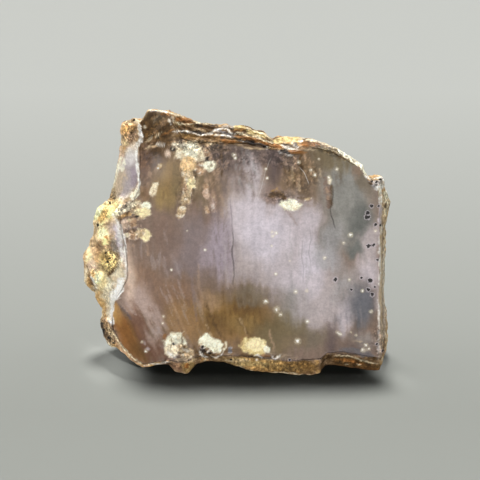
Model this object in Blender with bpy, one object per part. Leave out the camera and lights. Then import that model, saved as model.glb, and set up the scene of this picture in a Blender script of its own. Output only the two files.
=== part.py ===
"""A hand specimen of chalcedony: one lump, broken open at the front and standing on its foot.

The broken face shows the stone itself, and the rough rind wraps round its sides and back.
Outlines are written as the eye sees the stone from the front, a little above level:
across to the right, up along the view, and depth away from the viewer, in millimetres.
"""

import math

import bmesh
import bpy
import numpy as np
from mathutils import Vector, noise

MM = 0.001
VIEW_TILT = math.radians(20.0)      # how far above level the outlines are seen from

# Each station is the rim of the broken face (across, up), then the outer edge of the
# stone beside it (across, up, depth). They run clockwise from the peak.
PEAK = [
    (-23.8, 63.5, -24.0, 63.9, 10.5),
    (-21.5, 66.2, -21.6, 66.6, 10.6),
    (-17.1, 65.2, -16.3, 65.9, 11.0),
]
TOP_LAYERS = [
    (-13.5, 59.3, -13.2, 65.0, 15.5),
    (-9.0, 58.5, -8.8, 63.6, 16.0),
    (-3.5, 58.2, -3.5, 62.9, 16.0),
    (1.8, 58.0, 1.8, 62.8, 15.8),
    (6.5, 57.2, 6.8, 60.9, 15.0),
    (9.2, 56.5, 9.2, 59.3, 14.2),
    (12.5, 55.8, 12.0, 60.1, 15.0),
    (15.8, 56.2, 15.6, 59.8, 14.6),
    (19.5, 57.2, 19.8, 59.2, 13.0),
    (24.2, 56.0, 24.8, 57.2, 11.5),
    (27.8, 54.0, 28.5, 55.2, 10.6),
]
RIGHT_SHOULDER = [
    (31.0, 52.0, 31.5, 52.8, 9.8),
    (33.2, 49.0, 33.9, 49.5, 9.4),
    (35.2, 47.0, 37.0, 49.8, 11.0),
    (35.8, 44.8, 37.8, 46.5, 13.0),
    (36.0, 42.5, 38.8, 43.8, 14.5),
]
RIGHT_SIDE = [
    (36.0, 37.0, 38.0, 37.0, 14.5),
    (36.0, 28.0, 37.5, 28.0, 13.5),
    (36.0, 19.0, 37.5, 19.0, 12.5),
    (36.5, 11.5, 38.2, 11.5, 11.0),
    (36.8, 6.5, 37.8, 6.5, 8.0),
    (36.5, 4.3, 36.8, 2.5, 5.0),
]
FOOT = [
    (35.0, 4.5, 36.2, 1.0, 2.9),
    (31.8, 5.0, 31.8, 1.4, 2.2),
    (27.2, 5.8, 27.5, 2.0, 2.0),
    (23.0, 5.5, 22.8, 2.5, 1.8),
    (21.2, 4.0, 21.0, 0.5, 0.0),
    (18.5, 3.8, 19.0, -0.2, -0.6),
    (13.0, 3.5, 13.0, 0.2, -0.4),
    (8.2, 4.0, 8.2, 0.5, -0.2),
    (4.5, 4.5, 4.6, 1.0, 0.0),
    (1.0, 4.8, 1.2, 2.0, 0.5),
    (-3.5, 4.8, -3.6, 3.2, 1.0),
    (-7.0, 4.8, -7.0, 3.5, 1.2),
    (-9.8, 4.5, -9.8, 2.9, 1.0),
    (-12.0, 3.5, -12.4, 0.2, 0.6),
    (-15.0, 3.2, -15.3, 0.9, 0.6),
    (-17.2, 3.8, -17.0, 2.8, 0.8),
    (-22.5, 3.2, -22.8, 2.4, 1.0),
    (-26.2, 5.5, -26.8, 4.9, 2.0),
]
LEFT_RIND = [
    (-28.0, 7.8, -28.8, 6.4, 4.0),
    (-29.5, 10.0, -31.8, 7.5, 7.0),
    (-31.0, 12.2, -34.1, 10.1, 10.0),
    (-31.2, 15.0, -34.7, 13.0, 12.0),
    (-31.0, 17.5, -34.2, 16.5, 13.0),
    (-29.5, 20.2, -35.5, 19.8, 14.0),
    (-27.5, 23.5, -38.5, 23.2, 16.0),
    (-27.2, 27.8, -38.8, 28.0, 17.0),
    (-27.8, 32.0, -38.1, 32.0, 17.0),
    (-28.5, 35.5, -36.4, 35.0, 17.0),
    (-29.2, 38.5, -35.6, 38.8, 17.0),
    (-28.8, 41.2, -34.5, 42.0, 16.5),
    (-25.8, 43.8, -32.1, 44.0, 15.5),
]
LEFT_FACET = [
    (-24.2, 47.0, -31.2, 48.0, 14.5),
    (-24.0, 52.8, -29.8, 53.5, 13.5),
    (-24.0, 58.0, -29.1, 58.0, 13.0),
    (-24.0, 61.6, -28.1, 63.2, 12.6),
    (-23.9, 62.7, -25.6, 64.6, 11.6),
]
SIDES = [PEAK, TOP_LAYERS, RIGHT_SHOULDER, RIGHT_SIDE, FOOT, LEFT_RIND, LEFT_FACET]
LAYERED = [0.1, 1.0, 0.3, 0.0, 0.0, 0.0, 0.0]       # how far each side is split in layers
KNOBBLY = [0.1, 0.3, 0.5, 0.4, 0.4, 1.0, 0.3]       # how lumpy each side's rind is

# The broken face leans back from the foot, with low swells and hollows
FACE_FOOT_UP = 4.0
FACE_FOOT_DEPTH = 0.3
FACE_LEAN = 0.14
FACE_MIDDLE = (-3.0, 32.0)
SWELLS = [                          # across, up, half width, half height, how far it stands out
    (4.0, 36.0, 16.0, 13.0, 1.1),
    (27.0, 17.0, 9.0, 10.0, 0.6),
    (-14.0, 24.0, 9.0, 10.0, 0.7),
    (-20.5, 56.0, 4.5, 5.5, -1.3),
    (17.5, 50.0, 6.0, 6.0, -0.7),
    (27.5, 38.0, 6.0, 9.0, -0.5),
    (10.0, 13.0, 8.0, 7.0, -0.6),
]
CHIP_FROM = (-29.5, 18.5)           # the crease of the scoop broken from the lower left corner
CHIP_TO = (-20.6, 4.6)
CHIP_SLOPE = 0.42
CORNER_SOFTNESS = 0.55              # 1 rounds the outlines off at every station, 0 leaves corners
NODULES = [                         # round growths on the face: across, up, half sizes, height
    (-15.2, 7.8, 2.7, 2.8, 1.0),
    (-6.5, 7.8, 3.2, 3.0, 1.2),
    (4.8, 7.7, 3.8, 2.7, 1.1),
    (-11.3, 54.3, 3.4, 3.7, 0.6),
    (-6.4, 52.6, 1.9, 1.9, 0.6),
    (14.2, 42.6, 3.2, 1.9, 0.5),
    (-22.8, 41.4, 1.7, 1.6, 0.7),
    (-22.6, 35.2, 1.6, 1.7, 0.7),
]
KNOBS = [                           # lumps of the rind on the left: across, up, half size, height
    (-33.4, 40.4, 2.6, 1.2),
    (-33.4, 34.8, 2.4, 1.3),
    (-36.2, 29.6, 2.6, 1.2),
    (-31.8, 29.0, 2.4, 1.0),
    (-35.6, 24.8, 2.2, 1.1),
    (-32.4, 12.6, 2.0, 0.9),
    (-27.4, 61.8, 2.0, 0.8),
    (-28.2, 43.4, 2.2, 0.9),
]

# The hidden side and the back
LAYER_COUNT = 4
RISER_SHARE = 0.45                  # how much of a layer's height is its broken front
LAYER_GAP = 0.15                    # how far a layer's front is undercut, in layer depths
BODY_MIDDLE = (0.5, 27.0)           # across and height of the stone's middle
BACK_SHRINK = 0.85
BACK_RIM_DEPTH = 26.5
BACK_RIM_WAVE = 2.5
BACK_DEPTH = 37.0
BACK_ROUNDNESS = 2.3
FOOT_SINK = 1.2                     # how much of the underside is lost to the flat foot
FOOT_BLEND = 6.0                    # how high, and how far in from the front, that loss fades out
BACK_BREAKS = [                     # flat breaks at the back: direction, then distance out
    ((0.62, 0.74, 0.26), 45.0),
    ((-0.50, 0.80, 0.34), 44.5),
    ((0.12, 0.62, 0.77), 61.5),
    ((-0.20, 0.90, -0.38), 27.0),
]
BREAK_START = 17.0                  # the depth at which the breaks begin, and the length they grow over
BREAK_BLEND = 7.0
BREAK_SMOOTHNESS = 0.65             # how much less lumpy a break is than the rind

# Lumps of the rind
LUMP_SIZE = 8.0
LUMP_HEIGHT = 1.5
GRAIN_SIZE = 3.2
GRAIN_HEIGHT = 0.35
FACE_RIPPLE_SIZE = 9.0
FACE_RIPPLE_HEIGHT = 0.16

# The middle of the stone's box, which stands on the frame's origin
MIDDLE_ACROSS = -0.12
MIDDLE_DEPTH = 18.33

# How finely the surface is divided
FACE_HALF = 22                      # steps from the middle of the face to its rim
HIDDEN_RINGS = 10

STONE_COLOUR = (0.33, 0.25, 0.20, 1.0)
STONE_ROUGHNESS = 0.35


def from_view(across, up, depth):
    """The place in the stone's own frame of a point given as it is seen."""
    height = (up - depth * math.sin(VIEW_TILT)) / math.cos(VIEW_TILT)
    return np.stack([across, depth, height], axis=-1)


def smooth_step(value):
    value = np.clip(value, 0.0, 1.0)
    return value * value * (3.0 - 2.0 * value)


def swell(across, up, row):
    """A soft round rise, 1 at its middle and almost 0 at twice its half size."""
    reach = ((across - row[0]) / row[2]) ** 2 + ((up - row[1]) / row[3]) ** 2
    return np.exp(-reach)


def dome(across, up, row):
    """A round lump with a steep border, 1 at its middle and 0 from its half size on."""
    reach = ((across - row[0]) / row[2]) ** 2 + ((up - row[1]) / row[3]) ** 2
    return np.sqrt(np.clip(1.0 - reach, 0.0, 1.0))


def face_depth(across, up):
    """How far back the broken face lies at a place on it."""
    depth = FACE_FOOT_DEPTH + FACE_LEAN * (up - FACE_FOOT_UP)
    for row in SWELLS:
        depth = depth - row[4] * swell(across, up, row)
    along = np.subtract(CHIP_TO, CHIP_FROM)
    along = along / np.linalg.norm(along)
    beyond = (across - CHIP_FROM[0]) * along[1] - (up - CHIP_FROM[1]) * along[0]
    return depth + CHIP_SLOPE * np.clip(beyond, 0.0, None)


def round_trip(count):
    """Values at even places round the closed row of stations, passing smoothly through each."""
    rows = []
    for side, layered, knobbly in zip(SIDES, LAYERED, KNOBBLY):
        rows.extend(list(station) + [layered, knobbly] for station in side)
    stations = np.array(rows)
    following = np.roll(stations, -1, axis=0)
    before = np.roll(stations, 1, axis=0)
    reach = np.linalg.norm((following - stations)[:, 0:2], axis=1)
    reach = reach + np.linalg.norm((following - stations)[:, 2:4], axis=1)
    slope = CORNER_SOFTNESS * (following - before) / (reach + np.roll(reach, 1))[:, None]
    marks = np.concatenate([[0.0], np.cumsum(reach)])
    places = np.arange(count) / count * marks[-1]
    span = np.searchsorted(marks, places, side="right") - 1
    length = reach[span][:, None]
    t = ((places - marks[span]) / reach[span])[:, None]
    start, end = stations[span], following[span]
    leave, arrive = slope[span] * length, np.roll(slope, -1, axis=0)[span] * length
    bend = (2.0 * t ** 3 - 3.0 * t ** 2 + 1.0) * start + (t ** 3 - 2.0 * t ** 2 + t) * leave
    return bend + (3.0 * t ** 2 - 2.0 * t ** 3) * end + (t ** 3 - t ** 2) * arrive


def square_ring(half):
    """For each point of a square grid: its ring about the middle and its share of the way round."""
    side = np.arange(-half, half + 1)
    i, j = np.meshgrid(side, side, indexing="ij")
    ring = np.maximum(np.abs(i), np.abs(j))
    step = np.where(j == -ring, 6 * ring + i + ring, 0)
    step = np.where((i == -ring) & (j > -ring), 5 * ring - j, step)
    step = np.where((j == ring) & (i > -ring), 3 * ring - i, step)
    step = np.where((i == ring) & (j < ring), j + ring, step)
    return ring, step / np.maximum(8 * ring, 1)


def at_share(loop, share):
    """A closed loop's values at any share of the way round it."""
    places = np.arange(len(loop) + 1) / len(loop)
    closed = np.vstack([loop, loop[:1]])
    columns = [np.interp(share, places, closed[:, k]) for k in range(loop.shape[1])]
    return np.stack(columns, axis=-1)


def layer_depth(share):
    """How far back a place on the layers lies, from 0 at the face to 1 at the outer edge."""
    step = share * LAYER_COUNT
    whole = np.floor(np.clip(step, 0.0, LAYER_COUNT - 1e-6))
    part = step - whole
    riser = -LAYER_GAP * np.clip(part / RISER_SHARE, 0.0, 1.0)
    tread = (1.0 + LAYER_GAP) * np.clip((part - RISER_SHARE) / (1.0 - RISER_SHARE), 0.0, 1.0)
    return (whole + riser + tread) / LAYER_COUNT


def side_shares():
    """The rings between the face and the outer edge: the top and the back of each layer."""
    tops = [(k + RISER_SHARE) / LAYER_COUNT for k in range(LAYER_COUNT)]
    backs = [(k + 1.0) / LAYER_COUNT for k in range(LAYER_COUNT)]
    return sorted(tops + backs)


def side_ring(trip, share):
    """One ring of the side that shows, a share of the way from the face's rim to the edge."""
    across = trip[:, 0] + (trip[:, 2] - trip[:, 0]) * share
    up = trip[:, 1] + (trip[:, 3] - trip[:, 1]) * share
    rim = face_depth(trip[:, 0], trip[:, 1])
    layered = np.clip(trip[:, 5], 0.0, 1.0)
    way = layered * layer_depth(share) + (1.0 - layered) * share
    return from_view(across, up, rim + (trip[:, 4] - rim) * way)


def back_rim(edge):
    """The loop where the sides turn over to the back."""
    middle = np.array(BODY_MIDDLE)
    out = edge[:, [0, 2]] - middle
    shrink = np.where(out[:, 1] > 0.0, BACK_SHRINK, 1.0)
    angle = np.arctan2(out[:, 1], out[:, 0])
    depth = BACK_RIM_DEPTH + BACK_RIM_WAVE * np.sin(3.0 * angle + 0.6)
    x = middle[0] + out[:, 0] * BACK_SHRINK
    z = middle[1] + out[:, 1] * shrink
    return np.stack([x, depth, np.maximum(z, 0.0)], axis=-1)


def hidden_ring(edge, back, share):
    """One ring of the side that is turned away, bending from the edge to the back's rim."""
    away = np.array([0.0, math.cos(VIEW_TILT), -math.sin(VIEW_TILT)])
    reach = 0.55 * (back[:, 1:2] - edge[:, 1:2]) / math.cos(VIEW_TILT)
    bend = edge + reach * away
    return (1.0 - share) ** 2 * edge + 2.0 * share * (1.0 - share) * bend + share ** 2 * back


def back_grid(back, half):
    """The back, a grid that bulges away from the loop round it."""
    ring, share = square_ring(half)
    out = at_share(back, share)
    way = ring / half
    x = BODY_MIDDLE[0] + (out[..., 0] - BODY_MIDDLE[0]) * way
    z = BODY_MIDDLE[1] + (out[..., 2] - BODY_MIDDLE[1]) * way
    depth = BACK_DEPTH - (BACK_DEPTH - out[..., 1]) * way ** BACK_ROUNDNESS
    return np.stack([x, depth, z], axis=-1)


def face_grid(trip, half):
    """The broken face, a grid inside its rim."""
    ring, share = square_ring(half)
    rim = at_share(trip[:, 0:2], share)
    way = (ring / half)[..., None]
    seen = np.array(FACE_MIDDLE) + (rim - np.array(FACE_MIDDLE)) * way
    return from_view(seen[..., 0], seen[..., 1], face_depth(seen[..., 0], seen[..., 1]))


def add_points(bm, points):
    return [bm.verts.new(Vector(point)) for point in points.reshape(-1, 3)]


def fill_grid(bm, verts, half):
    """Fill a square grid of points, and give back its border in order."""
    count = 2 * half + 1
    for i in range(count - 1):
        for j in range(count - 1):
            first = i * count + j
            corners = [verts[first], verts[first + count], verts[first + count + 1], verts[first + 1]]
            bm.faces.new(corners)
    ring, share = square_ring(half)
    border = [k for k in range(count * count) if ring.flat[k] == half]
    border.sort(key=lambda k: share.flat[k])
    return [verts[k] for k in border]


def join_rings(bm, outer, inner):
    """Join two closed rings with the same number of points."""
    count = len(outer)
    for k in range(count):
        after = (k + 1) % count
        bm.faces.new([outer[k], outer[after], inner[after], inner[k]])


def halve_ring(bm, fine, coarse):
    """Join a ring to one with half as many points."""
    count = len(coarse)
    for k in range(count):
        a, b, c = fine[2 * k], fine[2 * k + 1], fine[(2 * k + 2) % len(fine)]
        after = (k + 1) % count
        bm.faces.new([a, b, coarse[k]])
        bm.faces.new([b, coarse[after], coarse[k]])
        bm.faces.new([b, c, coarse[after]])


def build_surface(bm, half):
    """The stone's whole surface. Gives each point's kind: how lumpy it is, and if it is face."""
    trip = round_trip(8 * half)
    lumpy = {}
    face = add_points(bm, face_grid(trip, half))
    for vert in face:
        lumpy[vert] = 0.0
    ring = fill_grid(bm, face, half)
    shares = side_shares()
    for share in shares:
        points = side_ring(trip, share)
        after = add_points(bm, points)
        for vert, knobbly in zip(after, trip[:, 6]):
            lumpy[vert] = knobbly * (1.0 - 0.7 * share)
        join_rings(bm, ring, after)
        ring = after
    edge = side_ring(trip, 1.0)[::2]
    back = back_rim(edge)
    for k in range(1, HIDDEN_RINGS + 1):
        share = k / (HIDDEN_RINGS + 1)
        after = add_points(bm, hidden_ring(edge, back, share))
        for vert in after:
            lumpy[vert] = smooth_step(share * 2.5)
        if k == 1:
            halve_ring(bm, ring, after)
        else:
            join_rings(bm, ring, after)
        ring = after
    rear = add_points(bm, back_grid(back, half // 2))
    for vert in rear:
        lumpy[vert] = 1.0
    join_rings(bm, ring, fill_grid(bm, rear, half // 2))
    bmesh.ops.recalc_face_normals(bm, faces=bm.faces)
    return lumpy


def lump_height(place):
    """The rind's lumps at a place: rounded knobs with finer grain over them."""
    near = noise.voronoi(place / LUMP_SIZE)[0][0]
    grain = noise.fractal(place / GRAIN_SIZE, 0.8, 2.1, 3)
    return LUMP_HEIGHT * (0.45 - near) + GRAIN_HEIGHT * grain


def front_height(place, seen_up):
    """The growths on the face and the knobs of the rind that are seen from the front."""
    across = place.x
    height = 0.0
    for row in NODULES:
        height += row[4] * dome(across, seen_up, row)
    for row in KNOBS:
        height += row[3] * dome(across, seen_up, (row[0], row[1], row[2], row[2]))
    return height


def roughen(bm, lumpy):
    """Raise the lumps, growths and ripples along the surface's own directions."""
    bm.normal_update()
    moved = {}
    for vert in bm.verts:
        place = vert.co
        seen_up = place.z * math.cos(VIEW_TILT) + place.y * math.sin(VIEW_TILT)
        height = lumpy[vert] * lump_height(place)
        if vert.normal.y < 0.2 and place.y < 20.0:
            height += front_height(place, seen_up)
            height += FACE_RIPPLE_HEIGHT * noise.fractal(place / FACE_RIPPLE_SIZE, 1.0, 2.0, 3)
        moved[vert] = place + vert.normal * height
    for vert, place in moved.items():
        vert.co = place


def break_back(bm, lumpy):
    """Break faces off the back, less lumpy, where it stands out past each one's plane."""
    for direction, distance in BACK_BREAKS:
        direction = Vector(direction).normalized()
        for vert in bm.verts:
            beyond = vert.co.dot(direction) - distance
            if beyond > 0.0:
                grown = smooth_step((vert.co.y - BREAK_START) / BREAK_BLEND)
                vert.co -= direction * beyond * grown
                lumpy[vert] *= 1.0 - BREAK_SMOOTHNESS * grown * smooth_step(beyond)


def stand(bm):
    """Grind the foot flat where it would sink in, and stand the stone on the origin."""
    for vert in bm.verts:
        under = 1.0 - smooth_step(vert.co.z / FOOT_BLEND)
        sink = FOOT_SINK * under * smooth_step(vert.co.y / FOOT_BLEND - 0.5)
        vert.co.z = max(vert.co.z - sink, 0.0)
        vert.co.x -= MIDDLE_ACROSS
        vert.co.y -= MIDDLE_DEPTH


def stone_material():
    material = bpy.data.materials.new("chalcedony stone")
    material.use_nodes = True
    shader = material.node_tree.nodes["Principled BSDF"]
    shader.inputs["Base Color"].default_value = STONE_COLOUR
    shader.inputs["Roughness"].default_value = STONE_ROUGHNESS
    shader.inputs["Metallic"].default_value = 0.0
    material.diffuse_color = STONE_COLOUR
    return material


def make_stone():
    bm = bmesh.new()
    lumpy = build_surface(bm, FACE_HALF)
    break_back(bm, lumpy)
    roughen(bm, lumpy)
    stand(bm)
    bmesh.ops.scale(bm, vec=(MM, MM, MM), verts=bm.verts)
    bmesh.ops.triangulate(bm, faces=bm.faces)
    bmesh.ops.recalc_face_normals(bm, faces=bm.faces)
    mesh = bpy.data.meshes.new("chalcedony")
    bm.to_mesh(mesh)
    bm.free()
    mesh.shade_smooth()
    mesh.set_sharp_from_angle(angle=math.radians(40.0))
    mesh.materials.append(stone_material())
    stone = bpy.data.objects.new("chalcedony", mesh)
    bpy.context.scene.collection.objects.link(stone)
    return stone


def main():
    for old in list(bpy.data.objects):
        bpy.data.objects.remove(old, do_unlink=True)
    make_stone()


main()
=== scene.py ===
"""The looks of a hand specimen of chalcedony, on a plain pale floor under soft light.

Places on the stone are given as the eye sees them from the front, a little above level:
across to the right, up along the view, and depth away from the viewer, in millimetres.
The marks painted on its front are placed in pixels of the 480 by 480 picture, 4 to the
millimetre, x to the right and y down.
"""

import math

import bpy
import numpy as np
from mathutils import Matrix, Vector, noise


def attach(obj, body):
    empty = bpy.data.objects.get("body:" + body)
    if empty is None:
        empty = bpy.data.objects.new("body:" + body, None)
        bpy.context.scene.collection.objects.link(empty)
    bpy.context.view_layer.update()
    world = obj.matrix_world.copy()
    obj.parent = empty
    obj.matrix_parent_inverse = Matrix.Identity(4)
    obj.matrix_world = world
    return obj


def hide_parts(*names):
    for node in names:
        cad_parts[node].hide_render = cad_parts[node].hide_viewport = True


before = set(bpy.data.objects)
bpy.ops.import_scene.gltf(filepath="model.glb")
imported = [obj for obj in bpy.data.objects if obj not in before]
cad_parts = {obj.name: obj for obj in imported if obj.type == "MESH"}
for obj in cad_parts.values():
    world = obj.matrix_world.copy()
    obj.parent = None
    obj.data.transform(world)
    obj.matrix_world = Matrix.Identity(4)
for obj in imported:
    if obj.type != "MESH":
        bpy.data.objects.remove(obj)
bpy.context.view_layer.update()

MM = 0.001
VIEW_TILT = math.radians(20.0)      # how far above level the outlines are seen from
PICTURE_SIDE = 480.0                # pixels
PIXELS_PER_MM = 4.0
AIM_PIXEL = (240.0, 240.0)          # the middle of the picture
ZERO_PIXEL = (236.0, 376.0)         # where across and up are both 0

# Each station is the rim of the broken face (across, up), then the outer edge of the
# stone beside it (across, up, depth). They run clockwise from the peak.
PEAK = [
    (-23.8, 63.5, -24.0, 63.9, 10.5),
    (-21.5, 66.2, -21.6, 66.6, 10.6),
    (-17.1, 65.2, -16.3, 65.9, 11.0),
]
TOP_LAYERS = [
    (-13.5, 59.3, -13.2, 65.0, 15.5),
    (-9.0, 58.5, -8.8, 63.6, 16.0),
    (-3.5, 58.2, -3.5, 62.9, 16.0),
    (1.8, 58.0, 1.8, 62.8, 15.8),
    (6.5, 57.2, 6.8, 60.9, 15.0),
    (9.2, 56.5, 9.2, 59.3, 14.2),
]
TOP_CRUST = [
    (12.5, 55.8, 12.0, 60.1, 15.0),
    (15.8, 56.2, 15.6, 59.8, 14.6),
    (19.5, 57.2, 19.8, 59.2, 13.0),
    (24.2, 56.0, 24.8, 57.2, 11.5),
    (27.8, 54.0, 28.5, 55.2, 10.6),
]
RIGHT_SHOULDER = [
    (31.0, 52.0, 31.5, 52.8, 9.8),
    (33.2, 49.0, 33.9, 49.5, 9.4),
    (35.2, 47.0, 37.0, 49.8, 11.0),
    (35.8, 44.8, 37.8, 46.5, 13.0),
    (36.0, 42.5, 38.8, 43.8, 14.5),
]
RIGHT_SIDE = [
    (36.0, 37.0, 38.0, 37.0, 14.5),
    (36.0, 28.0, 37.8, 28.0, 13.5),
    (36.0, 19.0, 37.7, 19.0, 12.5),
    (36.5, 11.5, 38.6, 11.5, 11.0),
    (36.8, 6.5, 38.1, 6.5, 8.0),
    (36.5, 4.3, 36.8, 2.5, 5.0),
]
FOOT = [
    (35.0, 4.5, 36.2, 1.0, 2.9),
    (31.8, 5.0, 31.8, 1.4, 2.2),
    (27.2, 5.8, 27.5, 2.0, 2.0),
    (23.0, 5.5, 22.8, 2.5, 1.8),
    (21.2, 4.0, 21.0, 0.5, 0.0),
    (18.5, 3.8, 19.0, -0.2, -0.6),
    (13.0, 3.5, 13.0, 0.2, -0.4),
    (8.2, 4.0, 8.2, 0.5, -0.2),
    (4.5, 4.5, 4.6, 1.0, 0.0),
    (1.0, 4.8, 1.2, 2.0, 0.5),
    (-3.5, 4.8, -3.6, 3.2, 1.0),
    (-7.0, 4.8, -7.0, 3.5, 1.2),
    (-9.8, 4.5, -9.8, 2.9, 1.0),
    (-12.0, 3.5, -12.4, 0.2, 0.6),
    (-15.0, 3.2, -15.3, 0.9, 0.6),
    (-17.2, 3.8, -17.0, 2.8, 0.8),
    (-23.2, 2.7, -23.5, 1.9, 1.0),
    (-27.0, 5.2, -27.5, 4.4, 2.0),
]
LEFT_RIND = [
    (-29.0, 7.8, -29.6, 6.5, 4.0),
    (-30.2, 10.0, -32.2, 7.6, 7.0),
    (-31.1, 12.3, -34.1, 10.1, 10.0),
    (-31.2, 15.0, -34.7, 13.0, 12.0),
    (-31.0, 17.5, -34.2, 16.5, 13.0),
    (-29.5, 20.2, -35.5, 19.8, 14.0),
    (-27.5, 23.5, -38.5, 23.2, 16.0),
    (-27.2, 27.8, -38.8, 28.0, 17.0),
    (-27.8, 32.0, -38.1, 32.0, 17.0),
    (-28.5, 35.5, -36.4, 35.0, 17.0),
    (-29.2, 38.5, -35.6, 38.8, 17.0),
    (-28.8, 41.2, -34.5, 42.0, 16.5),
    (-25.8, 43.8, -32.1, 44.0, 15.5),
]
LEFT_FACET = [
    (-24.2, 47.0, -31.2, 48.0, 14.5),
    (-24.0, 52.8, -29.8, 53.5, 13.5),
    (-24.0, 58.0, -29.1, 58.0, 13.0),
    (-24.0, 61.6, -28.1, 63.2, 12.6),
    (-23.9, 62.7, -25.6, 64.6, 11.6),
]
SIDES = [PEAK, TOP_LAYERS, TOP_CRUST, RIGHT_SHOULDER, RIGHT_SIDE, FOOT, LEFT_RIND, LEFT_FACET]
LAYERED = [0.1, 1.0, 0.3, 0.0, 0.0, 0.0, 0.0, 0.0]  # how far each side is split in layers
KNOBBLY = [0.1, 0.4, 0.6, 0.5, 0.4, 0.4, 1.0, 0.3]  # how lumpy each side's rind is

# The broken face leans back from the foot, with low swells and hollows
FACE_FOOT_UP = 4.0
FACE_FOOT_DEPTH = 0.3
FACE_LEAN = 0.14
FACE_MIDDLE = (-3.0, 32.0)
SWELLS = [                          # across, up, half width, half height, how far it stands out
    (4.0, 36.0, 16.0, 13.0, 1.1),
    (27.0, 17.0, 9.0, 10.0, 0.6),
    (-14.0, 24.0, 9.0, 10.0, 0.7),
    (-20.5, 56.0, 4.5, 5.5, -1.3),
    (17.5, 50.0, 6.0, 6.0, -0.7),
    (27.5, 38.0, 6.0, 9.0, -0.5),
    (10.0, 13.0, 8.0, 7.0, -0.6),
]
CHIP_FROM = (-29.5, 18.5)           # the crease of the scoop broken from the lower left corner
CHIP_TO = (-20.6, 4.6)
CHIP_SLOPE = 0.42
CORNER_SOFTNESS = 0.55              # 1 rounds the outlines off at every station, 0 leaves corners
NODULES = [                         # round growths on the face: across, up, half sizes, height
    (-15.2, 7.8, 2.7, 2.8, 1.0),
    (-6.5, 7.8, 3.2, 3.0, 1.2),
    (4.8, 7.7, 3.8, 2.7, 1.1),
    (-11.3, 54.3, 3.4, 3.7, 0.6),
    (-6.4, 52.6, 1.9, 1.9, 0.6),
    (14.2, 42.6, 3.2, 1.9, 0.5),
    (-22.8, 41.4, 1.7, 1.6, 0.7),
    (-22.6, 35.2, 1.6, 1.7, 0.7),
]
KNOBS = [                           # lumps of the rind on the left: across, up, half size, height
    (-34.0, 39.9, 3.0, 0.7),
    (-31.2, 42.2, 2.6, 0.6),
    (-33.4, 34.8, 2.4, 1.0),
    (-36.2, 29.6, 2.6, 0.9),
    (-31.8, 29.0, 2.4, 0.8),
    (-35.6, 24.8, 2.2, 1.1),
    (-32.4, 12.6, 2.0, 0.9),
    (-27.4, 61.8, 2.0, 0.8),
    (-28.2, 43.4, 2.2, 0.9),
]

# The hidden side and the back
LAYER_COUNT = 4
RISER_SHARE = 0.45                  # how much of a layer's height is its broken front
LAYER_GAP = 0.15                    # how far a layer's front is undercut, in layer depths
BODY_MIDDLE = (0.5, 27.0)           # across and height of the stone's middle
FLANK_BEND = 0.55                   # how far the flanks run straight back before they close in
BACK_SHRINK = 0.85
BACK_RIM_DEPTH = 26.5
BACK_RIM_WAVE = 2.5
BACK_DEPTH = 37.0
BACK_ROUNDNESS = 2.3
FOOT_SINK = 1.2                     # how much of the underside is lost to the flat foot
FOOT_BLEND = 6.0                    # how high, and how far in from the front, that loss fades out
BACK_BREAKS = [                     # flat breaks at the back: direction, then distance out
    ((0.62, 0.74, 0.26), 45.0),
    ((-0.50, 0.80, 0.34), 44.5),
    ((0.12, 0.62, 0.77), 61.5),
    ((-0.20, 0.90, -0.38), 27.0),
]
BREAK_START = 17.0                  # the depth at which the breaks begin, and the length they grow over
BREAK_BLEND = 7.0
BREAK_SMOOTHNESS = 0.65             # how much less lumpy a break is than the rind

# Lumps of the rind
LUMP_SIZE = 8.0
LUMP_HEIGHT = 1.5
GRAIN_SIZE = 3.2
GRAIN_HEIGHT = 0.35
FACE_RIPPLE_SIZE = 9.0
FACE_RIPPLE_HEIGHT = 0.16

# The middle of the stone's box, which stands on the frame's origin
MIDDLE_ACROSS = -0.12
MIDDLE_DEPTH = 18.33

# Fine relief, which the eye sees from close by
RIM_FRAY = 0.22                     # how ragged the rim of the face is, and the size of its teeth
RIM_TOOTH = 1.7
EDGE_FRAY = 0.5                     # how much more ragged the outer edge is, where it is knobbly
EDGE_TOOTH = 2.6
LAYER_FRAY = 0.09                   # how far the layers' steps wander, in shares of the side
LAYER_FRAY_SIZE = 4.5
LAYER_PATCH_SIZE = 6.0              # the patches where the layers run together
PORE_SIZE = 1.7                     # the open pores of the rind
PORE_DEPTH = 0.55
CRUST_GRAIN = 0.9                   # the crumbs of the crusty growths
CRUST_HEIGHT = 0.4
FACE_GRAIN_SIZE = 1.1               # the faint grain of the broken face
FACE_GRAIN_HEIGHT = 0.03
LINE_DEPTH = 0.10                   # how deep the dark cracks of the face are
PIT_DEPTH = 0.35

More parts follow.
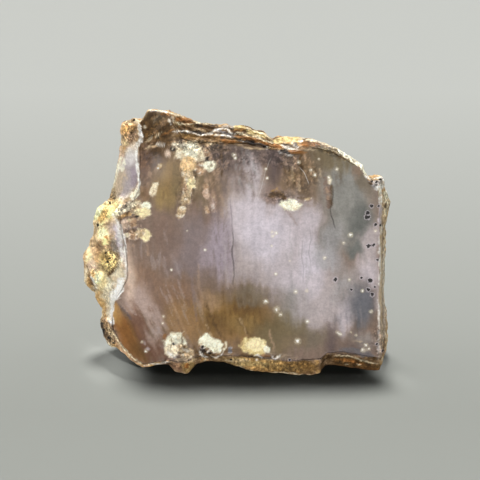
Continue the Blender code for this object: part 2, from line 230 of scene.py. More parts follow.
# The colours of the stone, each of red, green and blue up to 255
PALETTE = {
    "lilac": (200, 189, 194),
    "pale lilac": (208, 199, 207),
    "violet": (164, 150, 158),
    "mauve": (132, 116, 114),
    "plum": (104, 88, 84),
    "rose": (180, 168, 168),
    "grey": (151, 147, 145),
    "smoke": (142, 139, 133),
    "dark smoke": (106, 106, 101),
    "slate": (105, 104, 109),
    "taupe": (131, 110, 96),
    "drab": (122, 109, 92),
    "umber": (80, 57, 31),
    "brown": (126, 103, 78),
    "russet": (138, 107, 84),
    "olive": (152, 127, 80),
    "dark olive": (116, 99, 68),
    "amber": (132, 100, 54),
    "rust": (98, 71, 39),
    "sepia": (122, 97, 83),
    "bronze": (141, 115, 76),
    "mist": (170, 166, 168),
    "blush": (200, 172, 152),
    "shell": (216, 190, 170),
    "fawn": (180, 157, 147),
    "clay": (116, 82, 64),
    "camel": (153, 119, 82),
    "orange": (148, 97, 49),
    "tan": (184, 152, 124),
    "beige": (208, 184, 150),
    "straw": (203, 180, 126),
    "ochre": (192, 150, 92),
    "gold": (226, 204, 146),
    "butter": (238, 219, 170),
    "custard": (255, 238, 190),
    "cream": (242, 229, 200),
    "ivory": (255, 252, 228),
    "apricot": (238, 202, 152),
    "white": (252, 249, 244),
    "black": (26, 20, 18),
}
GROUND = "taupe"                    # what lies under all the zones
RIND_TONES = [
    (-0.8, "umber"), (-0.4, "brown"), (-0.1, "tan"), (0.1, "ochre"), (0.4, "beige"), (0.8, "cream"),
]
LAYER_TONES_AND_GAP_SHADE = [                     # from the bottom of one layer to its top; the black at both ends is painted shade in the undercut gap between layers
    (0.0, "black"), (0.2, "umber"), (0.45, "rust"), (0.6, "bronze"), (0.72, "beige"), (0.84, "ochre"),
    (0.94, "umber"), (1.0, "black"),
]
BREAK_TONES = [
    (-0.8, "umber"), (-0.35, "russet"), (0.0, "mauve"), (0.3, "grey"), (0.7, "lilac"),
]
FACE_SOFTNESS = 1.1                 # how soft the zones' borders are, in shares of their size
SIDE_SOFTNESS = 0.7
STREAK_LEAN = 0.5                   # the slant of the streaks in the lower left corner
SLANT_RIGHT_X = 200.0               # pixels: the slant grows leftwards from here
SLANT_TOP_Y = 270.0                 # and downwards from here
SLANT_MIDDLE_Y = 300.0
LEFT_RIND_X = 150.0                 # pixels: the left rind's tone grows leftwards from here
RIGHT_RIND_X = 372.0                # the right rind's rightwards
FOOT_RIND_Y = 348.0                 # and the foot's downwards
STREAK_STRENGTH = 0.05
CLOUD_STRENGTH = 0.05
STROKE_BORDER = 1.2                 # pixels
HOLLOW_DEPTH = 0.8                  # the relief at which a crust's hollows are painted darkest, in millimetres
HOLLOW_SHADE = 0.3                  # how much darker they are painted, and the bumps lighter: painted shade and light
REAR_POROUS = 0.5                   # how porous the rind is where it isn't seen from the front
EDGE_WRAP = 0.25                    # how far the front's marks run on over the outer edge

# Firmer zones of the sides: colour, x, y, half width, half height, turn, strength
SIDE_ZONES = [
    ("rose", 127, 174, 11, 27, 16, 1.0),
    ("white", 132, 152, 6, 12, 10, 0.6),
    ("shell", 120, 156, 4, 10, 10, 0.8),
    ("beige", 119, 182, 6, 14, 16, 0.7),
    ("violet", 134, 178, 4, 11, 0, 0.8),
    ("tan", 129, 132, 9, 12, 0, 1.0),
    ("ochre", 129, 127, 6, 6, 0, 0.7),
    ("beige", 127, 123, 6, 3, 0, 0.8),
    ("beige", 125, 142, 5, 4, 0, 0.9),
    ("ochre", 124, 132, 3, 8, 0, 0.5),
    ("beige", 105, 240, 26, 40, 0, 0.7),
    ("cream", 107, 289, 15, 17, 0, 0.8),
    # painted highlight on the lower left ridge
    ("ivory", 111, 290, 10, 17, 0, 0.7),
    ("shell", 111, 228, 7, 9, 0, 0.9),
    ("lilac", 119, 240, 5, 24, -8, 1.0),
    ("beige", 125, 215, 14, 7, -25, 0.7),
    ("gold", 106, 211, 15, 9, -40, 0.9),
    ("butter", 97, 211, 4, 11, 30, 0.8),
    ("ochre", 102, 215, 4, 8, 30, 0.7),
    ("butter", 102, 232, 6, 9, 0, 0.8),
    ("gold", 104, 241, 4, 4, 0, 0.9),
    ("brown", 109, 243, 3, 7, 0, 0.5),
    ("brown", 98, 248, 4, 7, 0, 0.8),
    ("camel", 95, 254, 6, 10, 0, 0.6),
    ("butter", 86, 253, 3, 9, 0, 0.7),
    ("shell", 89, 267, 5, 6, 0, 0.8),
    ("brown", 112, 248, 4, 6, 0, 0.8),
    ("straw", 108, 262, 10, 12, 0, 1.0),
    ("brown", 117, 256, 3, 8, 0, 0.6),
    ("olive", 104, 257, 5, 6, 0, 0.7),
    ("brown", 109, 275, 4, 3, -30, 0.8),
    ("cream", 117, 278, 8, 10, 0, 0.9),
    ("butter", 100, 281, 5, 10, 0, 1.0),
    ("ochre", 89, 280, 5, 8, 0, 0.8),
    ("cream", 93, 290, 4, 6, 0, 0.7),
    # painted highlight on the lower left ridge
    ("white", 117, 290, 12, 8, -40, 1.0),
    ("cream", 106, 300, 6, 14, 15, 0.9),
    ("ochre", 98, 302, 4, 12, -10, 0.7),
    ("shell", 107, 314, 5, 9, 0, 0.8),
    ("brown", 103, 334, 7, 13, -25, 1.0),
    ("beige", 110, 334, 4, 8, -25, 0.8),
    ("bronze", 262, 366, 46, 8, 3, 0.9),
    ("straw", 254, 363, 26, 5, 3, 0.7),
    ("ochre", 264, 371, 20, 4, 3, 0.7),
    ("beige", 182, 361, 14, 4, 0, 0.8),
    ("amber", 295, 369, 28, 7, 0, 0.7),
    ("rust", 357, 366, 27, 7, 8, 0.9),
    ("beige", 386, 260, 6, 80, 0, 0.6),
    ("russet", 176, 368, 10, 7, 0, 0.8),
    ("olive", 188, 368, 8, 6, 0, 0.8),
    ("rose", 386, 300, 3, 50, 0, 0.5),
    ("beige", 387, 202, 5, 12, 0, 0.6),
    ("drab", 334, 153, 30, 6, 22, 0.9),
    ("brown", 358, 166, 8, 5, 40, 0.8),
    ("rust", 184, 121, 12, 4, 8, 0.8),
    ("rust", 206, 126, 9, 3, 0, 0.7),
    ("dark olive", 186, 127, 12, 3, 5, 0.8),
]

# Glassier patches of the sides: x, y, half width, half height, turn, how much less crusty
SMOOTH_PATCHES = [
    (127, 172, 12, 27, 14, 0.9),
    (118, 238, 4, 20, 0, 0.8),
    (340, 154, 40, 8, 25, 0.7),
    (383, 290, 4, 80, 0, 0.6),
    (113, 246, 5, 9, 0, 0.6),
    (357, 362, 26, 3, 8, 0.5),
    (118, 296, 7, 34, 15, 0.8),
    (119, 276, 8, 12, 0, 0.8),
    (111, 229, 6, 8, 0, 0.7),
    (88, 256, 6, 12, 0, 0.5),
]

# Porous patches, riddled with holes painted dark as painted shade: x, y, half width, half height, turn,
# strength
POROUS_PATCHES = [
    (109, 262, 10, 13, 0, 1.0),
    (129, 211, 11, 8, -15, 0.9),
    (101, 215, 6, 7, 0, 0.7),
    (106, 334, 10, 16, -20, 1.0),
    (128, 131, 9, 14, 0, 0.8),
    (110, 197, 5, 8, 20, 0.9),
    (184, 349, 9, 10, 0, 0.4),
    (206, 355, 10, 5, 0, 0.8),
    (196, 146, 30, 6, 0, 0.7),
    (206, 162, 8, 8, 0, 0.4),
    (186, 200, 6, 18, 15, 0.4),
    (270, 366, 56, 9, 2, 0.5),
    (200, 128, 36, 9, 8, 0.6),
    (262, 140, 36, 8, 15, 0.5),
    (278, 196, 12, 5, 0, 0.9),
    (104, 238, 5, 4, 0, 0.3),
]

# Soft-bordered zones of the face: colour, x, y, half width, half height, turn, strength
ZONES = [
    ("brown", 205, 170, 66, 32, 0, 0.9),
    ("bronze", 168, 182, 15, 22, 0, 0.9),
    ("olive", 166, 190, 12, 18, 0, 0.8),
    ("sepia", 204, 208, 14, 20, 0, 0.8),
    ("mauve", 196, 246, 22, 30, 0, 0.95),
    ("mauve", 180, 262, 12, 22, 0, 0.6),
    ("plum", 240, 156, 40, 13, 0, 0.8),
    ("plum", 224, 174, 7, 22, 0, 0.4),
    ("mauve", 238, 178, 13, 14, 0, 0.6),
    ("brown", 304, 172, 24, 25, 0, 1.0),
    ("drab", 334, 158, 32, 15, 24, 1.0),
    ("smoke", 348, 200, 26, 46, 0, 1.0),
    ("dark olive", 332, 161, 18, 9, 24, 0.6),
    ("lilac", 252, 222, 28, 36, 0, 1.0),
    ("lilac", 288, 238, 28, 36, 0, 0.95),
    ("rose", 240, 262, 20, 22, 0, 0.8),
    ("rose", 280, 272, 34, 22, 0, 0.9),
    ("pale lilac", 268, 240, 20, 26, 0, 0.9),
    ("lilac", 300, 278, 22, 22, 0, 1.0),
    ("pale lilac", 311, 266, 12, 30, 0, 0.9),
    ("lilac", 311, 218, 11, 15, 0, 0.9),
    ("grey", 334, 238, 13, 18, 0, 1.0),
    ("mist", 328, 260, 12, 12, 0, 0.9),
    ("mist", 344, 276, 14, 14, 0, 0.5),
    ("violet", 220, 246, 12, 30, 0, 1.0),
    ("violet", 204, 258, 8, 12, 0, 0.6),
    ("sepia", 166, 238, 14, 30, 0, 0.7),
    ("blush", 130, 282, 9, 34, 0, 1.0),
    ("russet", 148, 284, 14, 20, -15, 0.8),
    ("russet", 178, 300, 20, 22, -20, 0.9),
    ("amber", 228, 322, 52, 24, 0, 1.0),
    ("camel", 184, 324, 16, 18, -20, 0.8),
    ("camel", 230, 343, 32, 10, 0, 0.5),
    ("umber", 216, 326, 14, 10, 0, 0.3),
    ("umber", 246, 306, 16, 10, 0, 0.3),
    ("olive", 242, 324, 14, 9, 0, 0.4),
    ("tan", 210, 305, 14, 9, 0, 0.5),
    ("drab", 252, 296, 20, 9, 0, 0.8),
    ("grey", 296, 312, 20, 22, 0, 0.75),
    ("rose", 314, 308, 16, 20, 0, 0.9),
    ("rose", 328, 302, 12, 30, 0, 0.9),
    ("lilac", 310, 288, 9, 12, 0, 0.9),
    ("drab", 304, 338, 24, 13, 0, 0.85),
    ("dark olive", 276, 336, 24, 18, 0, 1.0),
    ("mist", 346, 292, 12, 16, 0, 0.6),
    ("lilac", 368, 270, 12, 15, 0, 0.9),
    ("fawn", 136, 298, 18, 13, -30, 0.85),
    ("fawn", 152, 314, 18, 10, 50, 0.85),
    ("clay", 139, 331, 6, 26, -30, 0.85),
    ("clay", 155, 351, 12, 12, -30, 0.8),
    ("lilac", 345, 318, 9, 18, 0, 0.9),
    ("grey", 366, 342, 12, 9, 0, 0.6),
    ("plum", 350, 350, 26, 7, 0, 0.4),
    ("plum", 330, 342, 5, 20, 5, 0.8),
    ("slate", 361, 305, 12, 22, 0, 1.0),
    ("rose", 368, 242, 9, 20, 10, 0.9),
    ("dark smoke", 361, 220, 9, 17, 14, 1.0),
    ("dark smoke", 356, 249, 7, 9, 0, 1.0),
    ("drab", 366, 184, 6, 12, -30, 0.8),
    ("orange", 125, 336, 9, 32, -30, 1.0),
    ("ochre", 116, 316, 4, 12, -20, 0.6),
    ("rust", 130, 342, 6, 22, -32, 0.35),
    ("rust", 138, 352, 8, 14, -40, 0.5),
    ("shell", 127, 284, 5, 22, 0, 0.8),
    ("sepia", 148, 160, 14, 20, 20, 0.95),
    ("russet", 144, 154, 4, 14, 0, 0.6),
    ("camel", 145, 193, 6, 6, 0, 0.6),
    ("umber", 155, 166, 7, 12, 0, 0.3),
    ("umber", 158, 152, 6, 6, 0, 0.8),
    ("rose", 375, 250, 5, 16, 0, 0.8),
    ("rose", 376, 292, 4, 18, 0, 0.7),
    ("rust", 155, 128, 24, 17, 0, 1.0),
    ("umber", 145, 127, 6, 12, 20, 0.7),
    ("drab", 158, 118, 5, 6, 20, 0.5),
    ("rose", 256, 172, 7, 18, -14, 1.0),
    ("plum", 275, 162, 7, 22, 0, 0.9),
    ("tan", 205, 164, 8, 8, 0, 0.5),
    ("russet", 358, 170, 7, 6, 30, 0.6),
    ("umber", 310, 186, 10, 12, 0, 0.4),
    ("sepia", 276, 196, 12, 8, 20, 0.6),
    ("amber", 166, 178, 12, 14, 0, 0.5),
    ("dark olive", 201, 188, 7, 22, 0, 0.6),
    ("dark olive", 177, 182, 5, 14, 0, 0.5),
    ("mauve", 290, 162, 8, 10, 0, 0.5),
    ("brown", 292, 345, 12, 8, 0, 0.4),
]

# Scattered flecks, long along their turn: light and dark colour, x, y, half sizes, turn, strength
FLECKS = [
    ("beige", "umber", 158, 138, 24, 15, -42, 0.9),
    ("tan", "plum", 148, 164, 20, 11, -60, 0.7),
    ("beige", "umber", 200, 145, 34, 6, 4, 1.0),
    ("tan", "umber", 216, 168, 20, 14, 90, 0.8),
    ("grey", "plum", 244, 168, 22, 16, 80, 0.7),
    ("tan", "umber", 300, 170, 26, 20, 85, 0.8),
    ("beige", "umber", 128, 212, 14, 8, -20, 1.0),
    ("tan", "umber", 146, 188, 14, 9, 90, 0.5),
    ("grey", "umber", 340, 164, 24, 10, 90, 0.3),
    ("beige", "umber", 190, 186, 22, 10, 100, 0.7),
    ("beige", "umber", 230, 358, 60, 7, 0, 0.9),
    ("rose", "umber", 164, 336, 24, 14, 55, 0.4),
    ("beige", "plum", 364, 348, 16, 9, 0, 0.6),
    ("tan", "umber", 132, 232, 20, 6, 90, 0.7),
    ("tan", "plum", 214, 196, 26, 16, 85, 0.5),
    ("lilac", "plum", 250, 178, 24, 14, 75, 0.5),
    ("fawn", "clay", 146, 322, 40, 16, 58, 0.6),
    ("bronze", "umber", 176, 186, 30, 24, 85, 0.35),
    ("rose", "plum", 222, 250, 44, 14, 88, 0.35),
    ("rose", "sepia", 150, 250, 44, 22, 85, 0.4),
    ("rose", "sepia", 176, 300, 50, 26, 68, 0.4),
    ("bronze", "umber", 232, 318, 34, 40, 85, 0.35),
    ("rose", "slate", 350, 316, 34, 22, 88, 0.3),
    ("lilac", "grey", 300, 260, 60, 26, 88, 0.25),
]

# Crusty growths: colour, x, y, half width, half height, turn, how solid and how crumbly each is
GROWTHS = [
    ("beige", 198, 143, 33, 8, 2, 0.6, 0.8),
    ("tan", 200, 168, 9, 9, 0, 0.8, 0.8),
    ("tan", 206, 186, 6, 16, -4, 0.6, 0.4),
    ("tan", 188, 186, 8, 26, 6, 0.7, 0.6),
    ("beige", 188, 175, 7, 10, 0, 1.0, 0.5),
    ("custard", 191, 184, 5, 6, 0, 1.0, 0.3),
    ("beige", 186, 198, 6, 10, 20, 1.0, 0.5),
    ("beige", 181, 211, 5, 8, 20, 1.0, 0.6),
    ("cream", 189, 153, 16, 12, 10, 1.1, 0.4),
    ("ivory", 191, 152, 8, 8, 0, 1.0, 0.3),
    ("apricot", 188, 164, 10, 9, 0, 1.0, 0.2),
    ("ivory", 210, 166, 7, 6, 0, 1.1, 0.4),
    ("tan", 207, 152, 5, 6, 0, 0.8, 0.5),
    ("blush", 206, 194, 5, 7, -10, 0.8, 0.3),
    ("tan", 207, 210, 4, 7, 0, 0.7, 0.3),
    ("fawn", 213, 204, 4, 15, -8, 0.6, 0.4),
    ("ivory", 291, 205, 11, 5, 4, 1.2, 0.4),
    ("beige", 308, 199, 6, 3, -15, 0.7, 0.8),
    ("tan", 131, 223, 9, 6, 20, 0.9, 0.5),
    ("tan", 132, 236, 10, 8, 0, 0.8, 0.5),
    ("beige", 138, 209, 10, 12, 0, 0.9, 0.4),
    ("ivory", 145, 206, 5, 5, 10, 1.1, 0.1),
    ("custard", 142, 212, 8, 5, 0, 1.1, 0.1),
    ("custard", 145, 235, 6, 6, 30, 1.1, 0.1),
    ("beige", 139, 232, 6, 5, 0, 1.0, 0.4),
    ("shell", 125, 224, 4, 5, 0, 1.1, 0.2),
    ("cream", 126, 235, 3, 3, 0, 1.0, 0.2),
    ("cream", 154, 189, 5, 8, 18, 1.0, 0.5),
    ("ivory", 175, 343, 11, 11, 0, 1.1, 0.3),
    ("cream", 172, 352, 8, 7, 0, 1.1, 0.4),
    ("beige", 185, 353, 10, 7, 10, 1.0, 0.8),
    ("brown", 209, 353, 12, 7, 0, 1.1, 0.8),
    ("ivory", 205, 341, 8, 6, 0, 1.1, 0.0),
    ("ivory", 214, 346, 9, 6, 20, 1.2, 0.0),
    ("gold", 255, 347, 12, 9, -4, 1.2, 0.0),
    ("custard", 256, 345, 10, 7, -4, 1.1, 0.0),
    ("ivory", 267, 350, 3.5, 3.5, 0, 1.2, 0.1),
    ("shell", 168, 154, 4, 4, 0, 1.0, 0.3),
    ("beige", 160, 166, 5, 4, -40, 0.8, 0.6),
    ("beige", 155, 146, 9, 3, -10, 0.5, 0.7),
]

# Patches strewn with fine light and dark specks: x, y, half width, half height, turn, strength
SPECKLED_PATCHES = [
    (156, 128, 22, 18, -40, 0.8),
    (204, 130, 44, 9, 8, 0.6),
    (198, 145, 40, 7, 4, 1.0),
    (262, 140, 40, 9, 14, 0.6),
    (330, 150, 34, 6, 22, 0.8),
    (148, 154, 12, 14, -20, 0.5),
    (129, 131, 9, 14, 0, 1.0),
    (126, 210, 14, 10, -15, 1.0),
    (132, 230, 12, 12, 0, 0.6),
    (110, 197, 6, 8, 20, 0.9),
    (102, 214, 8, 9, 0, 0.8),
    (109, 262, 11, 14, 0, 1.0),
    (106, 334, 10, 16, -20, 1.0),
    (92, 278, 9, 14, 0, 0.8),
    (90, 252, 8, 10, 0, 0.4),
    (114, 246, 5, 9, 0, 0.6),
    (270, 366, 60, 9, 2, 0.7),
    (182, 362, 22, 8, 0, 0.7),
    (356, 364, 26, 6, 8, 0.8),
    (285, 160, 20, 10, 10, 0.8),
    (244, 156, 40, 9, 4, 0.6),
    (222, 160, 14, 14, 0, 0.7),
    (189, 176, 12, 36, 12, 0.5),
    (279, 197, 16, 7, 0, 0.9),
    (302, 176, 22, 20, 0, 0.5),
    (388, 250, 5, 80, 0, 0.8),
    (378, 182, 10, 7, 0, 0.6),
    (381, 342, 8, 22, 0, 0.7),
    (181, 349, 13, 11, 0, 0.5),
    (205, 355, 12, 6, 0, 0.6),
]
REAR_SPECKLE = 0.25                 # how speckled the rind is where it isn't seen from the front

# Strokes with slightly ragged borders: colour, half width, strength, the points it runs through
TOP_STROKES = [
    ("rust", 3.4, 0.8, [(172, 137), (200, 139), (232, 142), (262, 149)]),
    ("umber", 3.4, 0.8, [(175, 128), (200, 130), (230, 130), (245, 134)]),
    ("cream", 1.6, 0.9, [
        (163, 111), (172, 113), (180, 115), (188, 117), (198, 120), (205, 123), (215, 124),
    ]),
    ("beige", 1.4, 0.8, [(213, 124), (221, 124), (230, 125), (236, 125)]),
    ("gold", 2.4, 0.9, [(232, 126), (240, 126), (246, 129)]),
    ("gold", 3.2, 0.95, [(247, 131), (256, 133), (266, 137)]),
    ("cream", 1.1, 0.8, [(245, 127), (256, 131), (266, 135), (272, 139)]),
    ("white", 1.8, 0.7, [(172, 116), (173, 123)]),
    ("orange", 2.6, 0.9, [(176, 119), (186, 120), (195, 122)]),
    ("umber", 1.1, 0.9, [(179, 122), (186, 121)]),
    ("umber", 1.0, 0.8, [(188, 119), (194, 121)]),
    ("cream", 0.9, 0.9, [(175, 123), (188, 124), (197, 122), (202, 121)]),
    ("rust", 2.2, 0.95, [(173, 127), (185, 126), (196, 127)]),
    ("umber", 1.0, 0.8, [(176, 128), (192, 128)]),
    ("black", 1.9, 0.85, [(197, 124), (203, 125)]),
    ("umber", 2.4, 0.95, [(203, 127), (209, 127), (215, 129)]),
    ("beige", 1.2, 0.8, [(194, 128), (200, 129), (206, 132)]),
    ("black", 2.1, 0.9, [(190, 131), (198, 132), (205, 133)]),
    ("white", 1.2, 1.0, [(172, 132), (179, 131), (187, 131), (193, 132)]),
    ("mist", 2.2, 0.8, [(214, 128), (219, 131), (216, 134)]),
    ("mist", 2.0, 0.7, [(222, 126), (234, 127)]),
    ("slate", 1.6, 0.85, [(220, 131), (228, 134), (236, 137)]),
    ("white", 1.2, 1.0, [(193, 133), (201, 135), (209, 134), (213, 132), (219, 129), (224, 128)]),
    ("white", 1.2, 1.0, [(224, 128), (227, 129), (230, 132), (236, 134)]),
    ("white", 1.0, 0.9, [(214, 135), (225, 135), (232, 137)]),
    ("amber", 2.2, 0.9, [(176, 136), (188, 136), (198, 137)]),
    ("rust", 2.0, 0.9, [(196, 137), (210, 137), (222, 138)]),
    ("orange", 1.6, 0.8, [(220, 139), (229, 141), (238, 143)]),
    ("umber", 1.4, 0.9, [(178, 138), (182, 137)]),
    ("orange", 1.2, 0.8, [(234, 129), (241, 129), (247, 131)]),
    ("umber", 1.4, 0.9, [(242, 131), (248, 132)]),
    ("cream", 1.3, 1.0, [(235, 132), (241, 133), (250, 136), (259, 138), (265, 140), (272, 142)]),
    ("orange", 2.2, 0.85, [(235, 135), (248, 138), (258, 141), (268, 144), (279, 147)]),
    ("black", 1.9, 0.95, [(236, 139), (250, 142), (260, 144), (269, 147)]),
    ("white", 0.9, 0.8, [(240, 140), (244, 141)]),
    ("white", 0.9, 0.8, [(266, 146), (268, 150)]),
    ("beige", 0.9, 0.9, [(234, 144), (241, 145), (245, 148), (253, 148), (261, 149), (269, 148)]),
    ("cream", 1.6, 0.9, [(271, 141), (281, 142)]),
    ("gold", 3.2, 1.0, [(274, 141), (284, 139), (296, 139), (303, 141)]),
    ("black", 1.1, 0.95, [(282, 144), (292, 145)]),
    ("drab", 2.2, 0.8, [(285, 147), (298, 146)]),
    ("slate", 2.4, 0.8, [(292, 143), (296, 145), (298, 147)]),
    ("white", 0.8, 0.9, [(292, 142), (295, 146), (299, 147)]),
    ("orange", 1.8, 0.9, [(273, 145), (282, 148)]),
    ("white", 1.2, 0.9, [(280, 144), (289, 148), (298, 150)]),
    ("orange", 1.9, 0.95, [(287, 152), (297, 152), (306, 153)]),
    ("umber", 0.9, 0.7, [(290, 154), (304, 155)]),
    ("black", 2.0, 0.95, [(280, 150), (285, 152), (290, 154)]),
    ("white", 0.8, 0.9, [(279, 150), (280, 153), (287, 155), (291, 156), (294, 155)]),
    ("orange", 3.2, 0.9, [(301, 144), (311, 143), (320, 145)]),
    ("umber", 1.2, 0.8, [(305, 147), (319, 148)]),
    ("umber", 1.0, 0.8, [(307, 141), (315, 142)]),
    ("white", 1.4, 0.9, [(298, 141), (304, 141)]),
    ("dark olive", 3.0, 0.9, [(318, 148), (332, 150), (346, 156), (357, 164)]),
    ("umber", 1.0, 0.6, [(322, 150), (334, 153), (345, 159)]),
    ("beige", 0.8, 0.9, [(304, 150), (315, 150)]),
    ("cream", 1.8, 0.95, [(298, 138), (307, 138), (318, 141), (326, 143), (338, 148), (348, 153)]),
    ("ivory", 2.6, 1.0, [(338, 150), (350, 157), (361, 165), (366, 173), (369, 177)]),
    ("umber", 3.2, 0.9, [(143, 121), (148, 116), (157, 114)]),
    ("umber", 2.4, 0.9, [(142, 123), (142, 132), (144, 139)]),
    ("umber", 2.0, 0.7, [(146, 132), (153, 125), (160, 117)]),
    ("drab", 1.4, 0.7, [(153, 124), (161, 114)]),
    ("tan", 2.2, 0.5, [(153, 133), (160, 126), (168, 119)]),
    ("orange", 1.6, 0.8, [(160, 114), (170, 114)]),
    ("orange", 1.2, 0.8, [(161, 136), (173, 129)]),
    ("umber", 1.2, 0.8, [(159, 139), (174, 132)]),
    ("white", 0.9, 0.8, [(148, 110), (160, 110), (170, 112)]),
    ("beige", 0.8, 0.7, [(140, 121), (145, 117), (149, 110)]),
    ("cream", 0.9, 0.8, [(155, 136), (162, 132)]),
    ("cream", 0.9, 0.7, [(149, 140), (153, 137)]),
    ("white", 0.8, 0.9, [(156, 144), (165, 145)]),
    ("beige", 1.0, 0.8, [(144, 150), (149, 147), (154, 146)]),
    ("white", 0.9, 0.8, [(169, 118), (171, 125)]),
    ("umber", 0.9, 0.8, [(171, 118), (174, 126)]),
    ("beige", 1.3, 0.6, [(157, 169), (162, 164)]),
]
LEFT_STROKES = [
    # Painted highlights: the white lines down the upper left ridge
    ("white", 2.4, 1.0, [(139, 124), (140, 131), (141, 138), (137, 147)]),
    ("white", 1.6, 1.0, [(137, 147), (136, 157), (137, 168), (139, 177), (139, 185), (137, 191)]),
    ("violet", 3.4, 0.8, [(132, 168), (134, 177), (135, 185)]),
    ("rose", 3.4, 0.6, [(124, 176), (125, 186), (130, 190)]),
    ("ivory", 2.2, 0.9, [(121, 157), (117, 166), (114, 176), (110, 190)]),
    ("ivory", 2.6, 0.8, [(124, 158), (121, 171)]),
    ("ochre", 2.2, 0.6, [(113, 194), (109, 201)]),
    ("ivory", 3.4, 0.9, [(137, 188), (135, 194), (131, 200)]),
    ("umber", 1.0, 0.8, [(133, 120), (134, 122)]),
    ("orange", 1.2, 0.7, [(126, 124), (129, 126)]),
    ("brown", 1.4, 0.7, [(126, 129), (130, 128), (131, 134)]),
    ("butter", 1.6, 0.8, [(122, 142), (127, 144)]),
    ("brown", 2.4, 0.6, [(116, 202), (123, 201), (130, 198)]),
    ("cream", 3.2, 1.0, [(111, 215), (117, 212), (124, 209), (131, 206), (138, 201)]),
    ("beige", 2.6, 0.9, [(108, 199), (112, 194), (113, 188)]),
    ("ochre", 1.6, 0.8, [(118, 218), (124, 215), (132, 213)]),
    ("umber", 0.8, 0.9, [(116, 219), (122, 219)]),
    ("umber", 0.8, 0.9, [(125, 214), (131, 211)]),
    ("black", 0.9, 0.9, [(132, 217), (139, 216)]),
    ("cream", 1.0, 0.9, [(128, 219), (132, 220)]),
    ("black", 1.4, 0.9, [(95, 224), (97, 226)]),
    ("umber", 0.9, 0.6, [(99, 227), (104, 224), (110, 220)]),
    ("orange", 1.9, 0.9, [(104, 235), (105, 239)]),
    ("brown", 1.3, 0.7, [(109, 234), (110, 242), (109, 250)]),
    ("grey", 2.0, 0.6, [(112, 236), (113, 246), (116, 254)]),
    # Painted highlights: the white lines along the left rim
    ("white", 1.6, 0.9, [(112, 214), (117, 222), (119, 236), (121, 252), (122, 266)]),
    ("white", 1.8, 0.9, [(120, 224), (124, 240), (125, 256), (125, 270), (125, 280)]),
    ("umber", 1.4, 0.8, [(105, 276), (110, 273), (114, 268), (119, 262)]),
    ("cream", 2.4, 0.8, [(119, 256), (119, 266), (120, 274)]),
    ("beige", 3.4, 0.8, [(112, 276), (116, 284), (112, 290)]),
    ("butter", 3.0, 0.9, [(100, 272), (101, 282), (99, 292)]),
    ("brown", 1.8, 0.8, [(85, 274), (89, 282), (93, 292)]),
    ("white", 0.9, 0.9, [(86, 273), (91, 280), (95, 290)]),
    ("umber", 0.9, 0.7, [(84, 262), (86, 272), (90, 288)]),
    # Painted highlights: the white lines down the lower left ridge
    ("white", 4.8, 1.0, [(118, 278), (120, 287), (115, 294), (110, 301)]),
    ("white", 3.0, 1.0, [(111, 296), (111, 308), (110, 318), (110, 328)]),
    ("ochre", 1.8, 0.6, [(103, 300), (103, 312), (104, 320)]),
    ("cream", 2.2, 0.8, [(106, 300), (107, 312), (108, 322)]),
    ("ochre", 1.6, 0.7, [(115, 304), (114, 314), (114, 324)]),
    ("black", 1.4, 0.9, [(99, 324), (100, 330), (103, 337)]),
    ("brown", 1.6, 0.8, [(104, 324), (106, 332)]),
    ("cream", 1.0, 0.9, [(103, 341), (108, 346), (114, 349)]),
    ("tan", 1.8, 0.8, [(111, 338), (118, 349), (127, 358), (141, 368)]),
    ("cream", 1.0, 0.9, [(110, 328), (113, 336), (119, 346), (128, 356), (142, 366)]),
    ("white", 1.0, 0.8, [(142, 366), (155, 365), (169, 363)]),
    ("rust", 2.4, 0.5, [(120, 308), (129, 324), (137, 341), (144, 360)]),
    # Painted shade along the crease of the broken lower left corner
    ("plum", 1.4, 0.9, [(118, 304), (124, 312), (131, 322)]),
    ("clay", 1.6, 0.8, [(131, 322), (138, 338), (144, 352), (148, 362)]),
    ("fawn", 1.2, 0.7, [(124, 302), (130, 310), (136, 316)]),
    ("fawn", 1.2, 0.6, [(134, 300), (142, 310), (150, 320), (156, 332)]),
    ("fawn", 1.0, 0.6, [(148, 302), (156, 314), (164, 326)]),
    ("lilac", 2.0, 0.8, [(146, 348), (147, 352)]),
    ("rose", 1.4, 0.7, [(142, 340), (145, 346)]),
    ("russet", 2.6, 0.6, [(145, 186), (146, 198)]),
    ("tan", 2.0, 0.6, [(133, 226), (134, 214)]),
]
